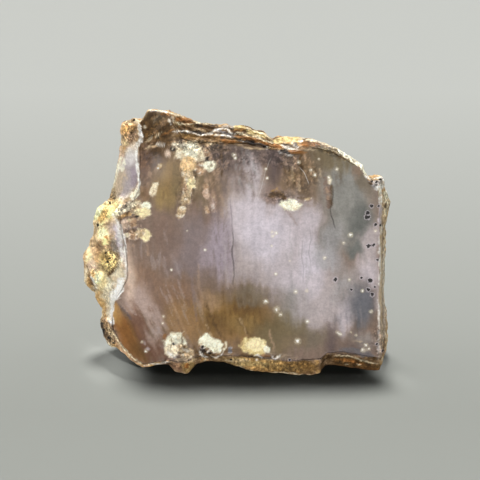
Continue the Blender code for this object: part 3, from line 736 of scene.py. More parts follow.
FOOT_STROKES = [
    ("umber", 0.8, 0.7, [(170, 338), (172, 344), (170, 350)]),
    ("umber", 0.9, 0.8, [(182, 336), (181, 343), (184, 349), (189, 351)]),
    ("umber", 0.8, 0.7, [(175, 352), (180, 355), (186, 353)]),
    ("orange", 1.8, 0.7, [(164, 334), (165, 342)]),
    ("white", 1.2, 0.8, [(166, 352), (170, 357), (176, 359)]),
    ("beige", 1.0, 0.8, [(178, 361), (188, 358), (196, 361)]),
    ("rust", 2.0, 0.8, [(194, 346), (196, 354), (200, 360)]),
    ("beige", 1.4, 0.8, [(198, 345), (203, 345)]),
    ("black", 1.8, 0.95, [(200, 350), (206, 352)]),
    ("umber", 2.4, 0.9, [(203, 355), (209, 355), (214, 356)]),
    ("black", 1.2, 0.8, [(208, 353), (213, 354)]),
    ("white", 0.9, 1.0, [(199, 352), (203, 357), (208, 358)]),
    ("white", 0.9, 1.0, [(211, 358), (217, 359), (222, 354)]),
    ("cream", 1.1, 1.0, [(222, 354), (226, 348), (225, 342)]),
    ("mist", 3.6, 1.0, [(228, 352), (232, 352)]),
    ("slate", 1.6, 1.0, [(228, 352), (232, 352)]),
    ("rust", 1.2, 0.4, [(241, 354), (250, 358), (262, 358)]),
    ("white", 0.8, 0.9, [(254, 357), (258, 356), (261, 359), (258, 363)]),
    ("orange", 1.6, 0.8, [(262, 357), (270, 357)]),
    ("umber", 1.6, 0.9, [(274, 357), (277, 358)]),
    ("white", 0.8, 0.9, [(271, 356), (274, 360), (279, 359), (281, 355)]),
    ("beige", 1.0, 0.5, [(240, 318), (243, 327), (247, 336)]),
    ("beige", 0.8, 0.5, [(205, 325), (209, 332), (213, 339)]),
    ("tan", 1.2, 0.6, [(270, 330), (270, 338), (274, 345), (274, 352)]),
    ("russet", 3.0, 0.7, [(172, 368), (182, 370)]),
    ("beige", 0.9, 0.8, [(168, 366), (171, 371), (178, 374), (186, 375)]),
    ("orange", 2.2, 0.9, [(183, 368), (189, 367)]),
    ("olive", 2.4, 0.8, [(188, 371), (194, 367)]),
    ("beige", 1.8, 0.8, [(174, 361), (184, 362), (194, 362)]),
    ("olive", 3.6, 0.4, [(232, 361), (248, 364), (275, 368), (300, 369)]),
    ("ochre", 1.4, 0.7, [(240, 359), (256, 361), (276, 364), (290, 364)]),
    ("amber", 2.0, 0.7, [(286, 366), (300, 367), (318, 368)]),
    ("rust", 1.2, 0.5, [(236, 368), (256, 373), (290, 374), (318, 375)]),
    ("cream", 0.8, 0.8, [(236, 367), (246, 371), (256, 373)]),
    ("cream", 0.8, 0.8, [(268, 374), (286, 374), (300, 376), (314, 377)]),
    ("plum", 2.2, 0.7, [(334, 354), (352, 354), (372, 357)]),
    ("slate", 2.6, 0.7, [(340, 350), (356, 352), (376, 357)]),
    ("cream", 0.8, 0.9, [(336, 357), (348, 357), (358, 360), (370, 363), (381, 365)]),
    ("rust", 3.6, 0.9, [(334, 361), (352, 364), (380, 370)]),
    ("orange", 1.4, 0.8, [(336, 360), (350, 362), (366, 366)]),
    ("orange", 1.2, 0.7, [(356, 368), (370, 370), (382, 372)]),
    ("umber", 1.0, 0.9, [(336, 364), (352, 367), (378, 372)]),
    ("black", 0.9, 0.8, [(332, 368), (352, 371), (380, 376)]),
    ("cream", 0.8, 0.8, [(345, 366), (349, 366)]),
    ("cream", 0.8, 0.8, [(358, 365), (363, 366)]),
    ("plum", 2.4, 0.6, [(329, 322), (332, 340), (330, 357)]),
]
RIGHT_STROKES = [
    ("mist", 4.0, 0.9, [(369, 181), (376, 184), (383, 181)]),
    ("white", 3.2, 1.0, [(366, 176), (373, 176), (380, 177), (387, 180), (386, 187)]),
    ("white", 2.4, 1.0, [(375, 188), (380, 188), (384, 184)]),
    ("umber", 1.6, 0.9, [(369, 182), (373, 184)]),
    ("slate", 1.2, 0.9, [(376, 185), (377, 184)]),
    ("umber", 1.0, 0.9, [(380, 179), (383, 180)]),
    # Painted highlights: the white lines down the right edge
    ("white", 2.2, 1.0, [(381, 189), (381, 198), (381, 206)]),
    ("lilac", 2.4, 0.9, [(381, 204), (381, 214), (381, 224)]),
    ("white", 1.6, 1.0, [(382, 224), (382, 234)]),
    ("beige", 2.2, 0.7, [(382, 230), (382, 262), (382, 296), (382, 330), (381, 362)]),
    ("white", 1.1, 0.9, [(380, 236), (381, 266), (381, 290)]),
    ("white", 1.1, 0.8, [(380, 300), (380, 330)]),
    ("mist", 1.2, 0.8, [(380, 330), (380, 362)]),
    ("cream", 2.4, 0.9, [(386, 192), (388, 204), (386, 216)]),
    ("ivory", 2.4, 1.0, [(386, 190), (389, 199)]),
    ("umber", 1.2, 0.8, [(387, 203), (386, 208)]),
    ("brown", 0.9, 0.8, [(383, 216), (384, 240), (384, 262)]),
    ("cream", 1.2, 0.7, [(387, 220), (386, 246), (386, 290), (387, 320)]),
    ("brown", 0.9, 0.6, [(384, 280), (384, 310), (385, 336)]),
    ("umber", 1.2, 0.6, [(386, 338), (385, 352)]),
]
FACE_STROKES = [
    ("violet", 2.5, 0.4, [(231, 205), (230, 245), (231, 284)]),
    ("rose", 1.2, 0.4, [(226, 222), (225, 260), (228, 290)]),
    ("sepia", 3.2, 0.8, [(325, 176), (328, 190), (329, 209)]),
    ("umber", 1.2, 0.7, [(332, 184), (332, 196), (331, 208)]),
    ("tan", 1.2, 0.7, [(327, 186), (328, 200)]),
    ("cream", 2.0, 0.9, [(328, 177), (330, 184)]),
    ("beige", 0.8, 0.6, [(320, 168), (322, 178)]),
    ("beige", 0.8, 0.6, [(314, 170), (316, 178)]),
    ("grey", 1.6, 0.7, [(336, 229), (341, 238), (346, 245)]),
    ("lilac", 2.0, 0.4, [(300, 262), (300, 288), (302, 320)]),
    ("tan", 1.6, 0.7, [(218, 158), (218, 166), (219, 174)]),
    ("tan", 1.8, 0.6, [(206, 176), (206, 184), (205, 192)]),
    ("beige", 1.5, 0.6, [(292, 166), (293, 182)]),
    ("beige", 1.2, 0.6, [(299, 178), (299, 192)]),
    ("beige", 1.4, 0.6, [(214, 196), (212, 212)]),
    ("umber", 3.4, 0.9, [(268, 195), (277, 194), (286, 198)]),
    ("ochre", 1.0, 0.8, [(270, 191), (278, 190), (284, 194)]),
    ("umber", 2.0, 0.8, [(296, 198), (303, 199), (309, 198)]),
    ("sepia", 1.4, 0.35, [(281, 204), (290, 214), (298, 226)]),
    ("black", 2.4, 1.0, [(207, 156), (205, 163)]),
    # Painted shade: the black of a small hole
    ("black", 2.2, 1.0, [(170, 149), (176, 149)]),
    ("umber", 3.0, 0.8, [(153, 154), (161, 148)]),
    ("tan", 1.4, 0.5, [(147, 244), (148, 256)]),
    ("mauve", 1.8, 0.5, [(190, 252), (193, 290), (196, 322)]),
    ("tan", 1.4, 0.4, [(198, 262), (199, 290), (203, 316)]),
    ("tan", 1.2, 0.4, [(170, 296), (178, 318), (187, 334)]),
    ("umber", 1.5, 0.5, [(206, 304), (212, 322), (222, 338)]),
    ("umber", 1.6, 0.5, [(236, 318), (245, 330), (252, 338)]),
    ("sepia", 3.0, 0.3, [(136, 238), (144, 264), (152, 290), (162, 314)]),
]

# Crisp lines of the face: half width in pixels, darkness (below 0 for a light line), the points
CRACKS = [
    (0.6, 0.3, [(230, 196), (231, 208), (232, 218), (232, 232)]),
    (0.9, 0.55, [(232, 222), (233, 240), (232, 252), (234, 266), (233, 286)]),
    (0.7, 0.5, [(333, 186), (333, 197), (331, 208)]),
    (0.8, 0.6, [(330, 206), (332, 217), (336, 229)]),
    (0.5, -0.35, [(300, 167), (304, 172), (307, 179), (309, 184)]),
    (0.4, -0.2, [(271, 157), (266, 170), (261, 189), (256, 202)]),
    (0.6, 0.25, [(303, 240), (302, 256), (304, 268), (303, 284)]),
    (0.6, 0.25, [(310, 226), (311, 240), (309, 252), (311, 268)]),
]

# Round marks: x, y, radius. The glints are painted highlights
GLINTS = [
    (266, 302, 2.2), (277, 310, 2.6), (281, 315, 1.8), (296, 292, 1.9), (307, 291, 1.5),
    (308, 322, 2.0), (298, 342, 2.6), (276, 274, 1.4), (276, 233, 1.7), (272, 232, 1.4),
    (273, 236, 1.4), (205, 250, 1.4), (341, 335, 1.8), (338, 333, 1.5), (364, 351, 2.2),
    (367, 346, 1.8), (370, 350, 1.6), (171, 270, 1.3), (163, 317, 1.4), (162, 324, 1.2),
    (141, 343, 1.2), (145, 352, 1.7), (299, 162, 1.6), (311, 170, 1.5), (315, 175, 1.6),
    (319, 159, 1.1), (337, 169, 1.6), (266, 169, 1.3), (267, 178, 1.4), (350, 280, 1.3),
    (234, 155, 1.9), (235, 158, 1.6), (145, 127, 1.5), (158, 168, 1.2), (330, 180, 1.7),
    (329, 177, 1.6), (376, 231, 1.4), (372, 312, 1.7), (363, 291, 1.5), (257, 361, 1.3),
    (278, 358, 1.3), (169, 121, 1.3), (272, 246, 1.1), (290, 261, 1.0), (325, 258, 1.6),
    (351, 235, 2.2), (344, 243, 1.4), (357, 336, 1.2), (352, 333, 1.0), (187, 231, 1.0),
]
# The pits: each painted black inside as painted shade in its hollow, with a pale lilac ring round it
PITS = [
    (336, 280, 1.9), (371, 281, 2.2), (369, 290, 1.7), (373, 295, 1.7), (369, 246, 1.9),
    (374, 245, 1.6), (368, 213, 1.9), (368, 217, 2.2), (372, 206, 1.6), (376, 225, 1.6),
    (381, 225, 1.4), (362, 278, 1.3), (352, 290, 1.2), (378, 260, 1.3), (379, 206, 1.2),
    (378, 345, 1.3), (384, 352, 1.5), (372, 181, 1.4), (377, 182, 1.4), (381, 179, 1.2),
    (202, 348, 1.6), (231, 361, 1.4), (173, 345, 1.2), (108, 202, 1.2), (109, 203, 1.3),
    (113, 198, 1.2), (105, 253, 1.4), (108, 259, 1.3), (106, 262, 1.4), (112, 256, 1.2),
    (100, 325, 1.7), (102, 331, 1.8), (107, 339, 1.6), (112, 344, 1.3), (96, 225, 1.4),
    (124, 120, 1.4), (120, 144, 1.4), (134, 120, 1.2), (290, 361, 1.2), (376, 287, 1.2),
]

# How finely the surface is divided
FACE_HALF = 104                     # steps from the middle of the face to its rim
SIDE_RINGS = 28
HIDDEN_RINGS = 36


def from_view(across, up, depth):
    """The place in the stone's own frame of a point given as it is seen."""
    height = (up - depth * math.sin(VIEW_TILT)) / math.cos(VIEW_TILT)
    return np.stack([across, depth, height], axis=-1)


def seen_up(points):
    """How far up the view points of the stone's own frame are seen."""
    return points[:, 2] * math.cos(VIEW_TILT) + points[:, 1] * math.sin(VIEW_TILT)


def seen_pixels(points):
    """Where in the picture points of the stone's own frame are seen: x and y."""
    x = ZERO_PIXEL[0] + PIXELS_PER_MM * points[:, 0]
    return x, ZERO_PIXEL[1] - PIXELS_PER_MM * seen_up(points)


def smooth_step(value):
    value = np.clip(value, 0.0, 1.0)
    return value * value * (3.0 - 2.0 * value)


def turned_reach(x, y, row):
    """The distance from the middle of a turned ellipse, 1 at its border: x, y, sizes and turn."""
    turn = math.radians(row[4])
    right, down = x - row[0], y - row[1]
    along = right * math.cos(turn) + down * math.sin(turn)
    aside = down * math.cos(turn) - right * math.sin(turn)
    return np.hypot(along / row[2], aside / row[3])


def line_place(x, y, line):
    """How far each place lies from a line, negative on its left, and its share of the way along."""
    nearest, signed, along = np.full(len(x), 1e6), np.full(len(x), 1e6), np.zeros(len(x))
    lengths = [math.dist(start, end) for start, end in zip(line, line[1:])]
    passed = 0.0
    for (start_x, start_y), (end_x, end_y), length in zip(line, line[1:], lengths):
        way_x, way_y = (end_x - start_x) / length, (end_y - start_y) / length
        right, down = x - start_x, y - start_y
        run = np.clip(right * way_x + down * way_y, 0.0, length)
        gap = np.hypot(right - run * way_x, down - run * way_y)
        closer = gap < nearest
        side = np.where(right * way_y - down * way_x < 0.0, -1.0, 1.0)
        signed = np.where(closer, side * gap, signed)
        along = np.where(closer, (passed + run) / sum(lengths), along)
        nearest = np.minimum(nearest, gap)
        passed += length
    return signed, along


def taper(along):
    """A line's width along it, full over most of it and 0 at its ends."""
    return np.clip(4.0 * along * (1.0 - along), 0.0, 1.0) ** 0.35


def mark_reach(x, y, rows):
    """The distance from the nearest of some round marks, 1 at its border."""
    nearest = np.full(len(x), 9.0)
    for middle_x, middle_y, radius in rows:
        nearest = np.minimum(nearest, np.hypot(x - middle_x, y - middle_y) / radius)
    return nearest


def fractal(points, size, octaves=3):
    """Fractal noise at each point, mostly between -1 and 1, with grain of a given size."""
    return np.array([noise.fractal(place, 0.8, 2.1, octaves) for place in (points / size).tolist()])


def cells(points, size):
    """The distance from each point to the nearest of the seeds of a cell pattern, in cell sizes."""
    return np.array([noise.voronoi(place)[0][0] for place in (points / size).tolist()])


def wisps(x, y, width, height, number, octaves=3):
    """Noise with its grain drawn out to a width and a height. Each number gives another one."""
    layer = np.full(len(x), 7.3 * number)
    return fractal(np.stack([x / width, y / height, layer], axis=-1), 1.0, octaves)


def reach(across, up, row):
    """The squared distance from an ellipse's middle, 1 at its border: middle and half sizes."""
    return ((across - row[0]) / row[2]) ** 2 + ((up - row[1]) / row[3]) ** 2


def dome(across, up, row):
    """A round lump with a steep border, 1 at its middle and 0 from its half size on."""
    return np.sqrt(np.clip(1.0 - reach(across, up, row), 0.0, 1.0))


def face_depth(across, up):
    """How far back the broken face lies at a place on it."""
    depth = FACE_FOOT_DEPTH + FACE_LEAN * (up - FACE_FOOT_UP)
    for row in SWELLS:
        depth = depth - row[4] * np.exp(-reach(across, up, row))
    along = np.subtract(CHIP_TO, CHIP_FROM)
    along = along / np.linalg.norm(along)
    beyond = (across - CHIP_FROM[0]) * along[1] - (up - CHIP_FROM[1]) * along[0]
    return depth + CHIP_SLOPE * np.clip(beyond, 0.0, None)


def round_trip(count):
    """Values at even places round the closed row of stations, passing smoothly through each."""
    rows = []
    for side, layered, knobbly in zip(SIDES, LAYERED, KNOBBLY):
        rows.extend(list(station) + [layered, knobbly] for station in side)
    stations = np.array(rows)
    following = np.roll(stations, -1, axis=0)
    before = np.roll(stations, 1, axis=0)
    reach_on = np.linalg.norm((following - stations)[:, 0:2], axis=1)
    reach_on = reach_on + np.linalg.norm((following - stations)[:, 2:4], axis=1)
    slope = CORNER_SOFTNESS * (following - before) / (reach_on + np.roll(reach_on, 1))[:, None]
    marks = np.concatenate([[0.0], np.cumsum(reach_on)])
    places = np.arange(count) / count * marks[-1]
    span = np.searchsorted(marks, places, side="right") - 1
    length = reach_on[span][:, None]
    t = ((places - marks[span]) / reach_on[span])[:, None]
    start, end = stations[span], following[span]
    leave, arrive = slope[span] * length, np.roll(slope, -1, axis=0)[span] * length
    bend = (2.0 * t ** 3 - 3.0 * t ** 2 + 1.0) * start + (t ** 3 - 2.0 * t ** 2 + t) * leave
    return fray(bend + (3.0 * t ** 2 - 2.0 * t ** 3) * end + (t ** 3 - t ** 2) * arrive)


def fray(trip):
    """Make the rim and the edge ragged, straight in or out from the face's middle."""
    middle = np.array(FACE_MIDDLE)
    rim, edge = trip[:, 0:2] - middle, trip[:, 2:4] - middle
    tooth = RIM_FRAY * wisps(trip[:, 0], trip[:, 1], RIM_TOOTH, RIM_TOOTH, 1)
    knob = EDGE_FRAY * trip[:, 6] * wisps(trip[:, 2], trip[:, 3], EDGE_TOOTH, EDGE_TOOTH, 2, 4)
    trip[:, 0:2] += rim * (tooth / np.linalg.norm(rim, axis=1))[:, None]
    trip[:, 2:4] += edge * ((tooth + knob) / np.linalg.norm(edge, axis=1))[:, None]
    return trip


def square_ring(half):
    """For each point of a square grid: its ring about the middle and its share of the way round."""
    side = np.arange(-half, half + 1)
    i, j = np.meshgrid(side, side, indexing="ij")
    ring = np.maximum(np.abs(i), np.abs(j))
    step = np.where(j == -ring, 6 * ring + i + ring, 0)
    step = np.where((i == -ring) & (j > -ring), 5 * ring - j, step)
    step = np.where((j == ring) & (i > -ring), 3 * ring - i, step)
    step = np.where((i == ring) & (j < ring), j + ring, step)
    return ring, step / np.maximum(8 * ring, 1)


def at_share(loop, share):
    """A closed loop's values at any share of the way round it."""
    places = np.arange(len(loop) + 1) / len(loop)
    closed = np.vstack([loop, loop[:1]])
    columns = [np.interp(share, places, closed[:, k]) for k in range(loop.shape[1])]
    return np.stack(columns, axis=-1)


def layer_depth(share):
    """How far back a place on the layers lies, from 0 at the face to 1 at the outer edge."""
    step = share * LAYER_COUNT
    whole = np.floor(np.clip(step, 0.0, LAYER_COUNT - 1e-6))
    part = step - whole
    riser = -LAYER_GAP * np.clip(part / RISER_SHARE, 0.0, 1.0)
    tread = (1.0 + LAYER_GAP) * np.clip((part - RISER_SHARE) / (1.0 - RISER_SHARE), 0.0, 1.0)
    return (whole + riser + tread) / LAYER_COUNT


def side_ring(trip, share):
    """One ring of the side that shows, a share of the way from the face's rim to the edge."""
    across = trip[:, 0] + (trip[:, 2] - trip[:, 0]) * share
    up = trip[:, 1] + (trip[:, 3] - trip[:, 1]) * share
    rim = face_depth(trip[:, 0], trip[:, 1])
    patch = 0.8 + 0.9 * wisps(trip[:, 2], trip[:, 3], LAYER_PATCH_SIZE, LAYER_PATCH_SIZE, 9)
    layered = np.clip(trip[:, 5] * patch, 0.0, 1.0)
    layer = math.floor(share * LAYER_COUNT)
    wander = LAYER_FRAY * wisps(trip[:, 2], trip[:, 3], LAYER_FRAY_SIZE, LAYER_FRAY_SIZE, 3 + layer)
    stepped = layer_depth(np.clip(share + wander * (share > 0.0), 0.0, 1.0))
    way = layered * stepped + (1.0 - layered) * share
    return from_view(across, up, rim + (trip[:, 4] - rim) * way)


def back_rim(edge):
    """The loop where the sides turn over to the back."""
    middle = np.array(BODY_MIDDLE)
    out = edge[:, [0, 2]] - middle
    shrink = np.where(out[:, 1] > 0.0, BACK_SHRINK, 1.0)
    angle = np.arctan2(out[:, 1], out[:, 0])
    depth = BACK_RIM_DEPTH + BACK_RIM_WAVE * np.sin(3.0 * angle + 0.6)
    x = middle[0] + out[:, 0] * BACK_SHRINK
    z = middle[1] + out[:, 1] * shrink
    return np.stack([x, depth, np.maximum(z, 0.0)], axis=-1)


def hidden_ring(edge, back, share):
    """One ring of the side that is turned away, bending from the edge to the back's rim."""
    away = np.array([0.0, math.cos(VIEW_TILT), -math.sin(VIEW_TILT)])
    length = FLANK_BEND * (back[:, 1:2] - edge[:, 1:2]) / math.cos(VIEW_TILT)
    bend = edge + length * away
    return (1.0 - share) ** 2 * edge + 2.0 * share * (1.0 - share) * bend + share ** 2 * back


def back_grid(back, half):
    """The back, a grid that bulges away from the loop round it."""
    ring, share = square_ring(half)
    out = at_share(back, share)
    way = ring / half
    x = BODY_MIDDLE[0] + (out[..., 0] - BODY_MIDDLE[0]) * way
    z = BODY_MIDDLE[1] + (out[..., 2] - BODY_MIDDLE[1]) * way
    depth = BACK_DEPTH - (BACK_DEPTH - out[..., 1]) * way ** BACK_ROUNDNESS
    return np.stack([x, depth, z], axis=-1)


def face_grid(trip, half):
    """The broken face, a grid inside its rim."""
    ring, share = square_ring(half)
    rim = at_share(trip[:, 0:2], share)
    way = (ring / half)[..., None]
    seen = np.array(FACE_MIDDLE) + (rim - np.array(FACE_MIDDLE)) * way
    return from_view(seen[..., 0], seen[..., 1], face_depth(seen[..., 0], seen[..., 1]))


class Surface:
    """Points, what is known of each, and the faces that join them."""

    MARKS = (
        "off_rim", "share", "turned", "layered", "knobbly", "lumpy", "broken",
        "crust", "glint", "pit", "crack", "force", "porous", "speckled", "height",
    )

    def __init__(self):
        self.points = np.zeros((0, 3))
        self.marks = {name: np.zeros(0) for name in self.MARKS}
        self.faces = []

    def add(self, points, **marks):
        """Add points with their marks. Gives their numbers."""
        points = np.reshape(points, (-1, 3))
        start = len(self.points)
        self.points = np.vstack([self.points, points])
        for name in self.MARKS:
            value = np.broadcast_to(np.ravel(marks.get(name, 0.0)), len(points))
            self.marks[name] = np.concatenate([self.marks[name], value])
        return np.arange(start, start + len(points))

    def fill_grid(self, numbers, half):
        """Fill a square grid of points, and give back its border in order."""
        count = 2 * half + 1
        square = numbers.reshape(count, count)
        corners = [square[:-1, :-1], square[1:, :-1], square[1:, 1:], square[:-1, 1:]]
        self.faces.extend(np.stack([c.ravel() for c in corners], axis=-1).tolist())
        ring, share = square_ring(half)
        border = np.flatnonzero(ring.ravel() == half)
        return numbers[border[np.argsort(share.ravel()[border])]]

    def join(self, outer, inner):
        """Join two closed rings with the same number of points."""
        corners = [outer, np.roll(outer, -1), np.roll(inner, -1), inner]
        self.faces.extend(np.stack(corners, axis=-1).tolist())

    def halve(self, fine, coarse):
        """Join a ring to one with half as many points."""
        a, b, c = fine[0::2], fine[1::2], np.roll(fine[0::2], -1)
        after = np.roll(coarse, -1)
        for corners in ([a, b, coarse], [b, after, coarse], [b, c, after]):
            self.faces.extend(np.stack(corners, axis=-1).tolist())

    def normals(self):
        """The direction in which the surface faces at each point, outwards."""
        corners = np.array([face + face[:1] if len(face) == 3 else face for face in self.faces])
        a, b, c, d = (self.points[corners[:, k]] for k in range(4))
        across = np.cross(c - a, d - b)
        total = np.zeros_like(self.points)
        for k in range(4):
            np.add.at(total, corners[:, k], across)
        total = total / np.maximum(np.linalg.norm(total, axis=1, keepdims=True), 1e-12)
        return total if total[:, 1][self.marks["turned"] > 1.0].mean() > 0.0 else -total


def build_surface(half):
    """The stone's whole surface, without its lumps."""
    surface = Surface()
    trip = round_trip(8 * half)
    ring_of, share_of = square_ring(half)
    width = np.linalg.norm(trip[:, 0:2] - np.array(FACE_MIDDLE), axis=1)
    to_rim = np.interp(share_of, np.arange(len(width)) / len(width), width)
    off_rim = (ring_of / half - 1.0) * to_rim
    face = surface.add(face_grid(trip, half), off_rim=off_rim)
    ring = surface.fill_grid(face, half)
    rim, edge = side_ring(trip, 0.0), side_ring(trip, 1.0)
    span = np.linalg.norm(edge - rim, axis=1)
    sides = {"layered": np.clip(trip[:, 5], 0.0, 1.0), "knobbly": np.clip(trip[:, 6], 0.0, 1.0)}
    for k in range(1, SIDE_RINGS + 1):
        share = k / SIDE_RINGS
        lumpy = sides["knobbly"] * (1.0 - 0.7 * share) * smooth_step(share / 0.15)
        after = surface.add(
            side_ring(trip, share), off_rim=span * share, share=share, lumpy=lumpy, **sides
        )
        surface.join(ring, after)
        ring = after
    edge = edge[::2]
    back = back_rim(edge)
    sides = {name: value[::2] for name, value in sides.items()}
    for k in range(1, HIDDEN_RINGS + 1):
        share = k / (HIDDEN_RINGS + 1)
        after = surface.add(
            hidden_ring(edge, back, share), off_rim=span[::2], share=1.0, turned=share,
            lumpy=smooth_step(share * 2.5), **sides
        )
        (surface.halve if k == 1 else surface.join)(ring, after)
        ring = after
    rear = back_grid(back, half // 2)
    after = surface.add(rear, off_rim=20.0, share=1.0, turned=1.1, lumpy=1.0)
    surface.join(ring, surface.fill_grid(after, half // 2))
    return surface


def break_back(surface):
    """Break faces off the back, less lumpy, where it stands out past each one's plane."""
    points, lumpy = surface.points, surface.marks["lumpy"]
    for direction, distance in BACK_BREAKS:
        direction = np.array(direction) / np.linalg.norm(direction)
        beyond = np.clip(points @ direction - distance, 0.0, None)
        grown = smooth_step((points[:, 1] - BREAK_START) / BREAK_BLEND)
        points -= direction * (beyond * grown)[:, None]
        smooth = grown * smooth_step(beyond)
        lumpy *= 1.0 - BREAK_SMOOTHNESS * smooth
        surface.marks["broken"] = np.maximum(surface.marks["broken"], smooth)


def rind_lumps(points):
    """The rind's lumps at each place: rounded knobs with finer grain over them."""
    near = cells(points, LUMP_SIZE)
    return LUMP_HEIGHT * (0.45 - near) + GRAIN_HEIGHT * fractal(points, GRAIN_SIZE)


def pores(points):
    """How deep each place lies in the rind's open pores, from 0 to 1."""
    near = cells(points + 0.6 * fractal(points, PORE_SIZE)[:, None], PORE_SIZE)
    return 1.0 - smooth_step((near - 0.08) / 0.35)


def front_height(points):
    """The growths on the face and the knobs of the rind that are seen from the front."""
    across, up = points[:, 0], seen_up(points)
    height = FACE_RIPPLE_HEIGHT * fractal(points, FACE_RIPPLE_SIZE)
    for row in NODULES:
        height += row[4] * dome(across, up, row)
    for row in KNOBS:
        height += row[3] * dome(across, up, (row[0], row[1], row[2], row[2]))
    return height


def fine_height(surface, shown):
    """The pores, crumbs, cracks and pits of the surface, and the faint grain of its face."""
    points, marks = surface.points, surface.marks
    face = shown * (marks["off_rim"] < 0.0)
    crumbs = fractal(points, CRUST_GRAIN) + 0.5 - cells(points, CRUST_GRAIN)
    rough = np.maximum(marks["lumpy"], marks["crust"])
    height = CRUST_HEIGHT * rough * crumbs
    height -= PORE_DEPTH * marks["lumpy"] * pores(points)
    height += FACE_GRAIN_HEIGHT * face * fractal(points, FACE_GRAIN_SIZE)
    x, y = seen_pixels(points)
    for width, darkness, line in CRACKS:
        gap, along = line_place(x, y, line)
        cut = 1.0 - smooth_step(np.abs(gap) / (2.5 * width))
        height -= LINE_DEPTH * max(darkness, 0.0) * face * cut * taper(along)
    return height - PIT_DEPTH * shown * (1.0 - smooth_step(mark_reach(x, y, PITS) - 0.2))


def roughen(surface):
    """Raise the lumps, growths, ripples and fine grain along the surface's own directions."""
    normals = surface.normals()
    shown = ((normals[:, 1] < 0.2) & (surface.points[:, 1] < 20.0)).astype(float)
    height = surface.marks["lumpy"] * rind_lumps(surface.points)
    height += shown * front_height(surface.points) + fine_height(surface, shown)
    surface.marks["height"] = height
    surface.points += normals * height[:, None]


def stand(surface):
    """Flatten the foot, and stand the stone on the origin."""
    points = surface.points
    under = 1.0 - smooth_step(points[:, 2] / FOOT_BLEND)
    sink = FOOT_SINK * under * smooth_step(points[:, 1] / FOOT_BLEND - 0.5)
    points[:, 2] = np.maximum(points[:, 2] - sink, 0.0)
    points -= np.array([MIDDLE_ACROSS, MIDDLE_DEPTH, 0.0])


def shade(name):
    """A colour of the palette, its red, green and blue up to 1."""
    return np.array(PALETTE[name]) / 255.0


def ramp(value, stops):
    """Colours that run from one to the next as a value grows. Each stop is a value and a name."""
    places = [place for place, _ in stops]
    colours = np.array([shade(name) for _, name in stops])
    return np.stack([np.interp(value, places, colours[:, k]) for k in range(3)], axis=-1)


def growth_cover(x, y):
    """How far each place is covered by each of the crusty growths, in their order."""
    rough = 0.3 * wisps(x, y, 7.0, 7.0, 21) + 0.15 * wisps(x, y, 2.6, 2.6, 27)
    covers = []
    for name, *ellipse, solid, crumbly in GROWTHS:
        gap = turned_reach(x, y, ellipse)
        covers.append(smooth_step((solid + rough - gap) / 0.3) * (gap < 2.0))
    return covers


def patch_cover(x, y, patches):
    """How strongly each place is marked by the strongest of some patches with soft borders."""
    cover = np.zeros(len(x))
    for *ellipse, strength in patches:
        near = 1.0 - smooth_step((turned_reach(x, y, ellipse) - 0.6) / 0.6)
        cover = np.maximum(cover, strength * near)
    return cover


class Paint:
    """The colours of the surface's points, laid one over another."""

    def __init__(self, count):
        self.colour = np.tile(shade(GROUND), (count, 1))

    def lay(self, colour, amount):
        """Lay a colour, by name or point by point, over a share of what is there."""
        colour = shade(colour) if isinstance(colour, str) else colour
        self.colour += (colour - self.colour) * np.clip(amount, 0.0, 1.0)[:, None]

    def lay_zones(self, zones, x, y, where, softness):
        """Zones with borders of a given softness."""
        for name, *ellipse, strength in zones:
            gap = turned_reach(x, y, ellipse)
            self.lay(name, where * strength * (1.0 - smooth_step((gap - 1.0) / softness + 0.5)))

    def lay_strokes(self, strokes, x, y, where):
        """Strokes that wobble, waver in width, break up and run out at their ends."""
        waver, nick = wisps(x, y, 6.0, 6.0, 22), wisps(x, y, 2.4, 2.4, 25)
        wobble_x = x + 1.1 * wisps(x, y, 8.0, 8.0, 26) + 0.6 * nick
        wobble_y = y + 1.1 * wisps(x, y, 8.0, 8.0, 28) - 0.6 * nick
        fill = np.clip(0.9 + 0.6 * wisps(x, y, 3.0, 3.0, 29), 0.2, 1.0)
        for name, width, strength, line in strokes:
            gap, along = line_place(wobble_x, wobble_y, line)
            wide = width * (1.0 + 0.6 * waver) * taper(along)
            cover = smooth_step((wide - np.abs(gap)) / STROKE_BORDER + 0.5)
            self.lay(name, where * strength * cover * fill)

    def lay_flecks(self, x, y, where):
        """Light and dark flecks, each long one way, thinning out from the middle of their zone."""
        for number, (light, dark, *ellipse, strength) in enumerate(FLECKS):
            turn = math.radians(ellipse[4])
            along = x * math.cos(turn) + y * math.sin(turn)
            aside = y * math.cos(turn) - x * math.sin(turn)
            flecks = wisps(along, aside, max(7.0, 0.5 * ellipse[2]), 4.0, 31 + number, 4)
            near = where * strength * (1.0 - smooth_step(turned_reach(x, y, ellipse) - 0.4))
            self.lay(light, near * smooth_step((flecks - 0.15) / 0.5))
            self.lay(dark, near * smooth_step((-flecks - 0.1) / 0.5))


def paint_face(paint, x, y, where):
    """The broken face: soft zones, drawn out up and down, with fine streaks."""
    lean = STREAK_LEAN * smooth_step((SLANT_RIGHT_X - x) / 60.0)
    lean = lean * smooth_step((y - SLANT_TOP_Y) / 40.0)
    along = x - lean * (y - SLANT_MIDDLE_Y)
    drift_x = x + 5.0 * wisps(x, y, 26.0, 40.0, 11) + 1.5 * wisps(along, y, 7.0, 18.0, 12)
    drift_y = y + 6.0 * wisps(along, y, 6.0, 70.0, 13) + 5.0 * wisps(x, y, 18.0, 14.0, 14)
    paint.lay_zones(ZONES, drift_x, drift_y, where, FACE_SOFTNESS)
    streaky = smooth_step(0.5 + 1.2 * wisps(x, y, 40.0, 60.0, 18))
    streaks = wisps(along, y, 3.0, 40.0, 15) + 0.6 * wisps(along, y, 7.0, 30.0, 16)
    clouds = wisps(x, y, 14.0, 18.0, 17, 5)
    light = STREAK_STRENGTH * streaky * streaks + CLOUD_STRENGTH * clouds
    paint.colour *= (1.0 + where * light)[:, None]


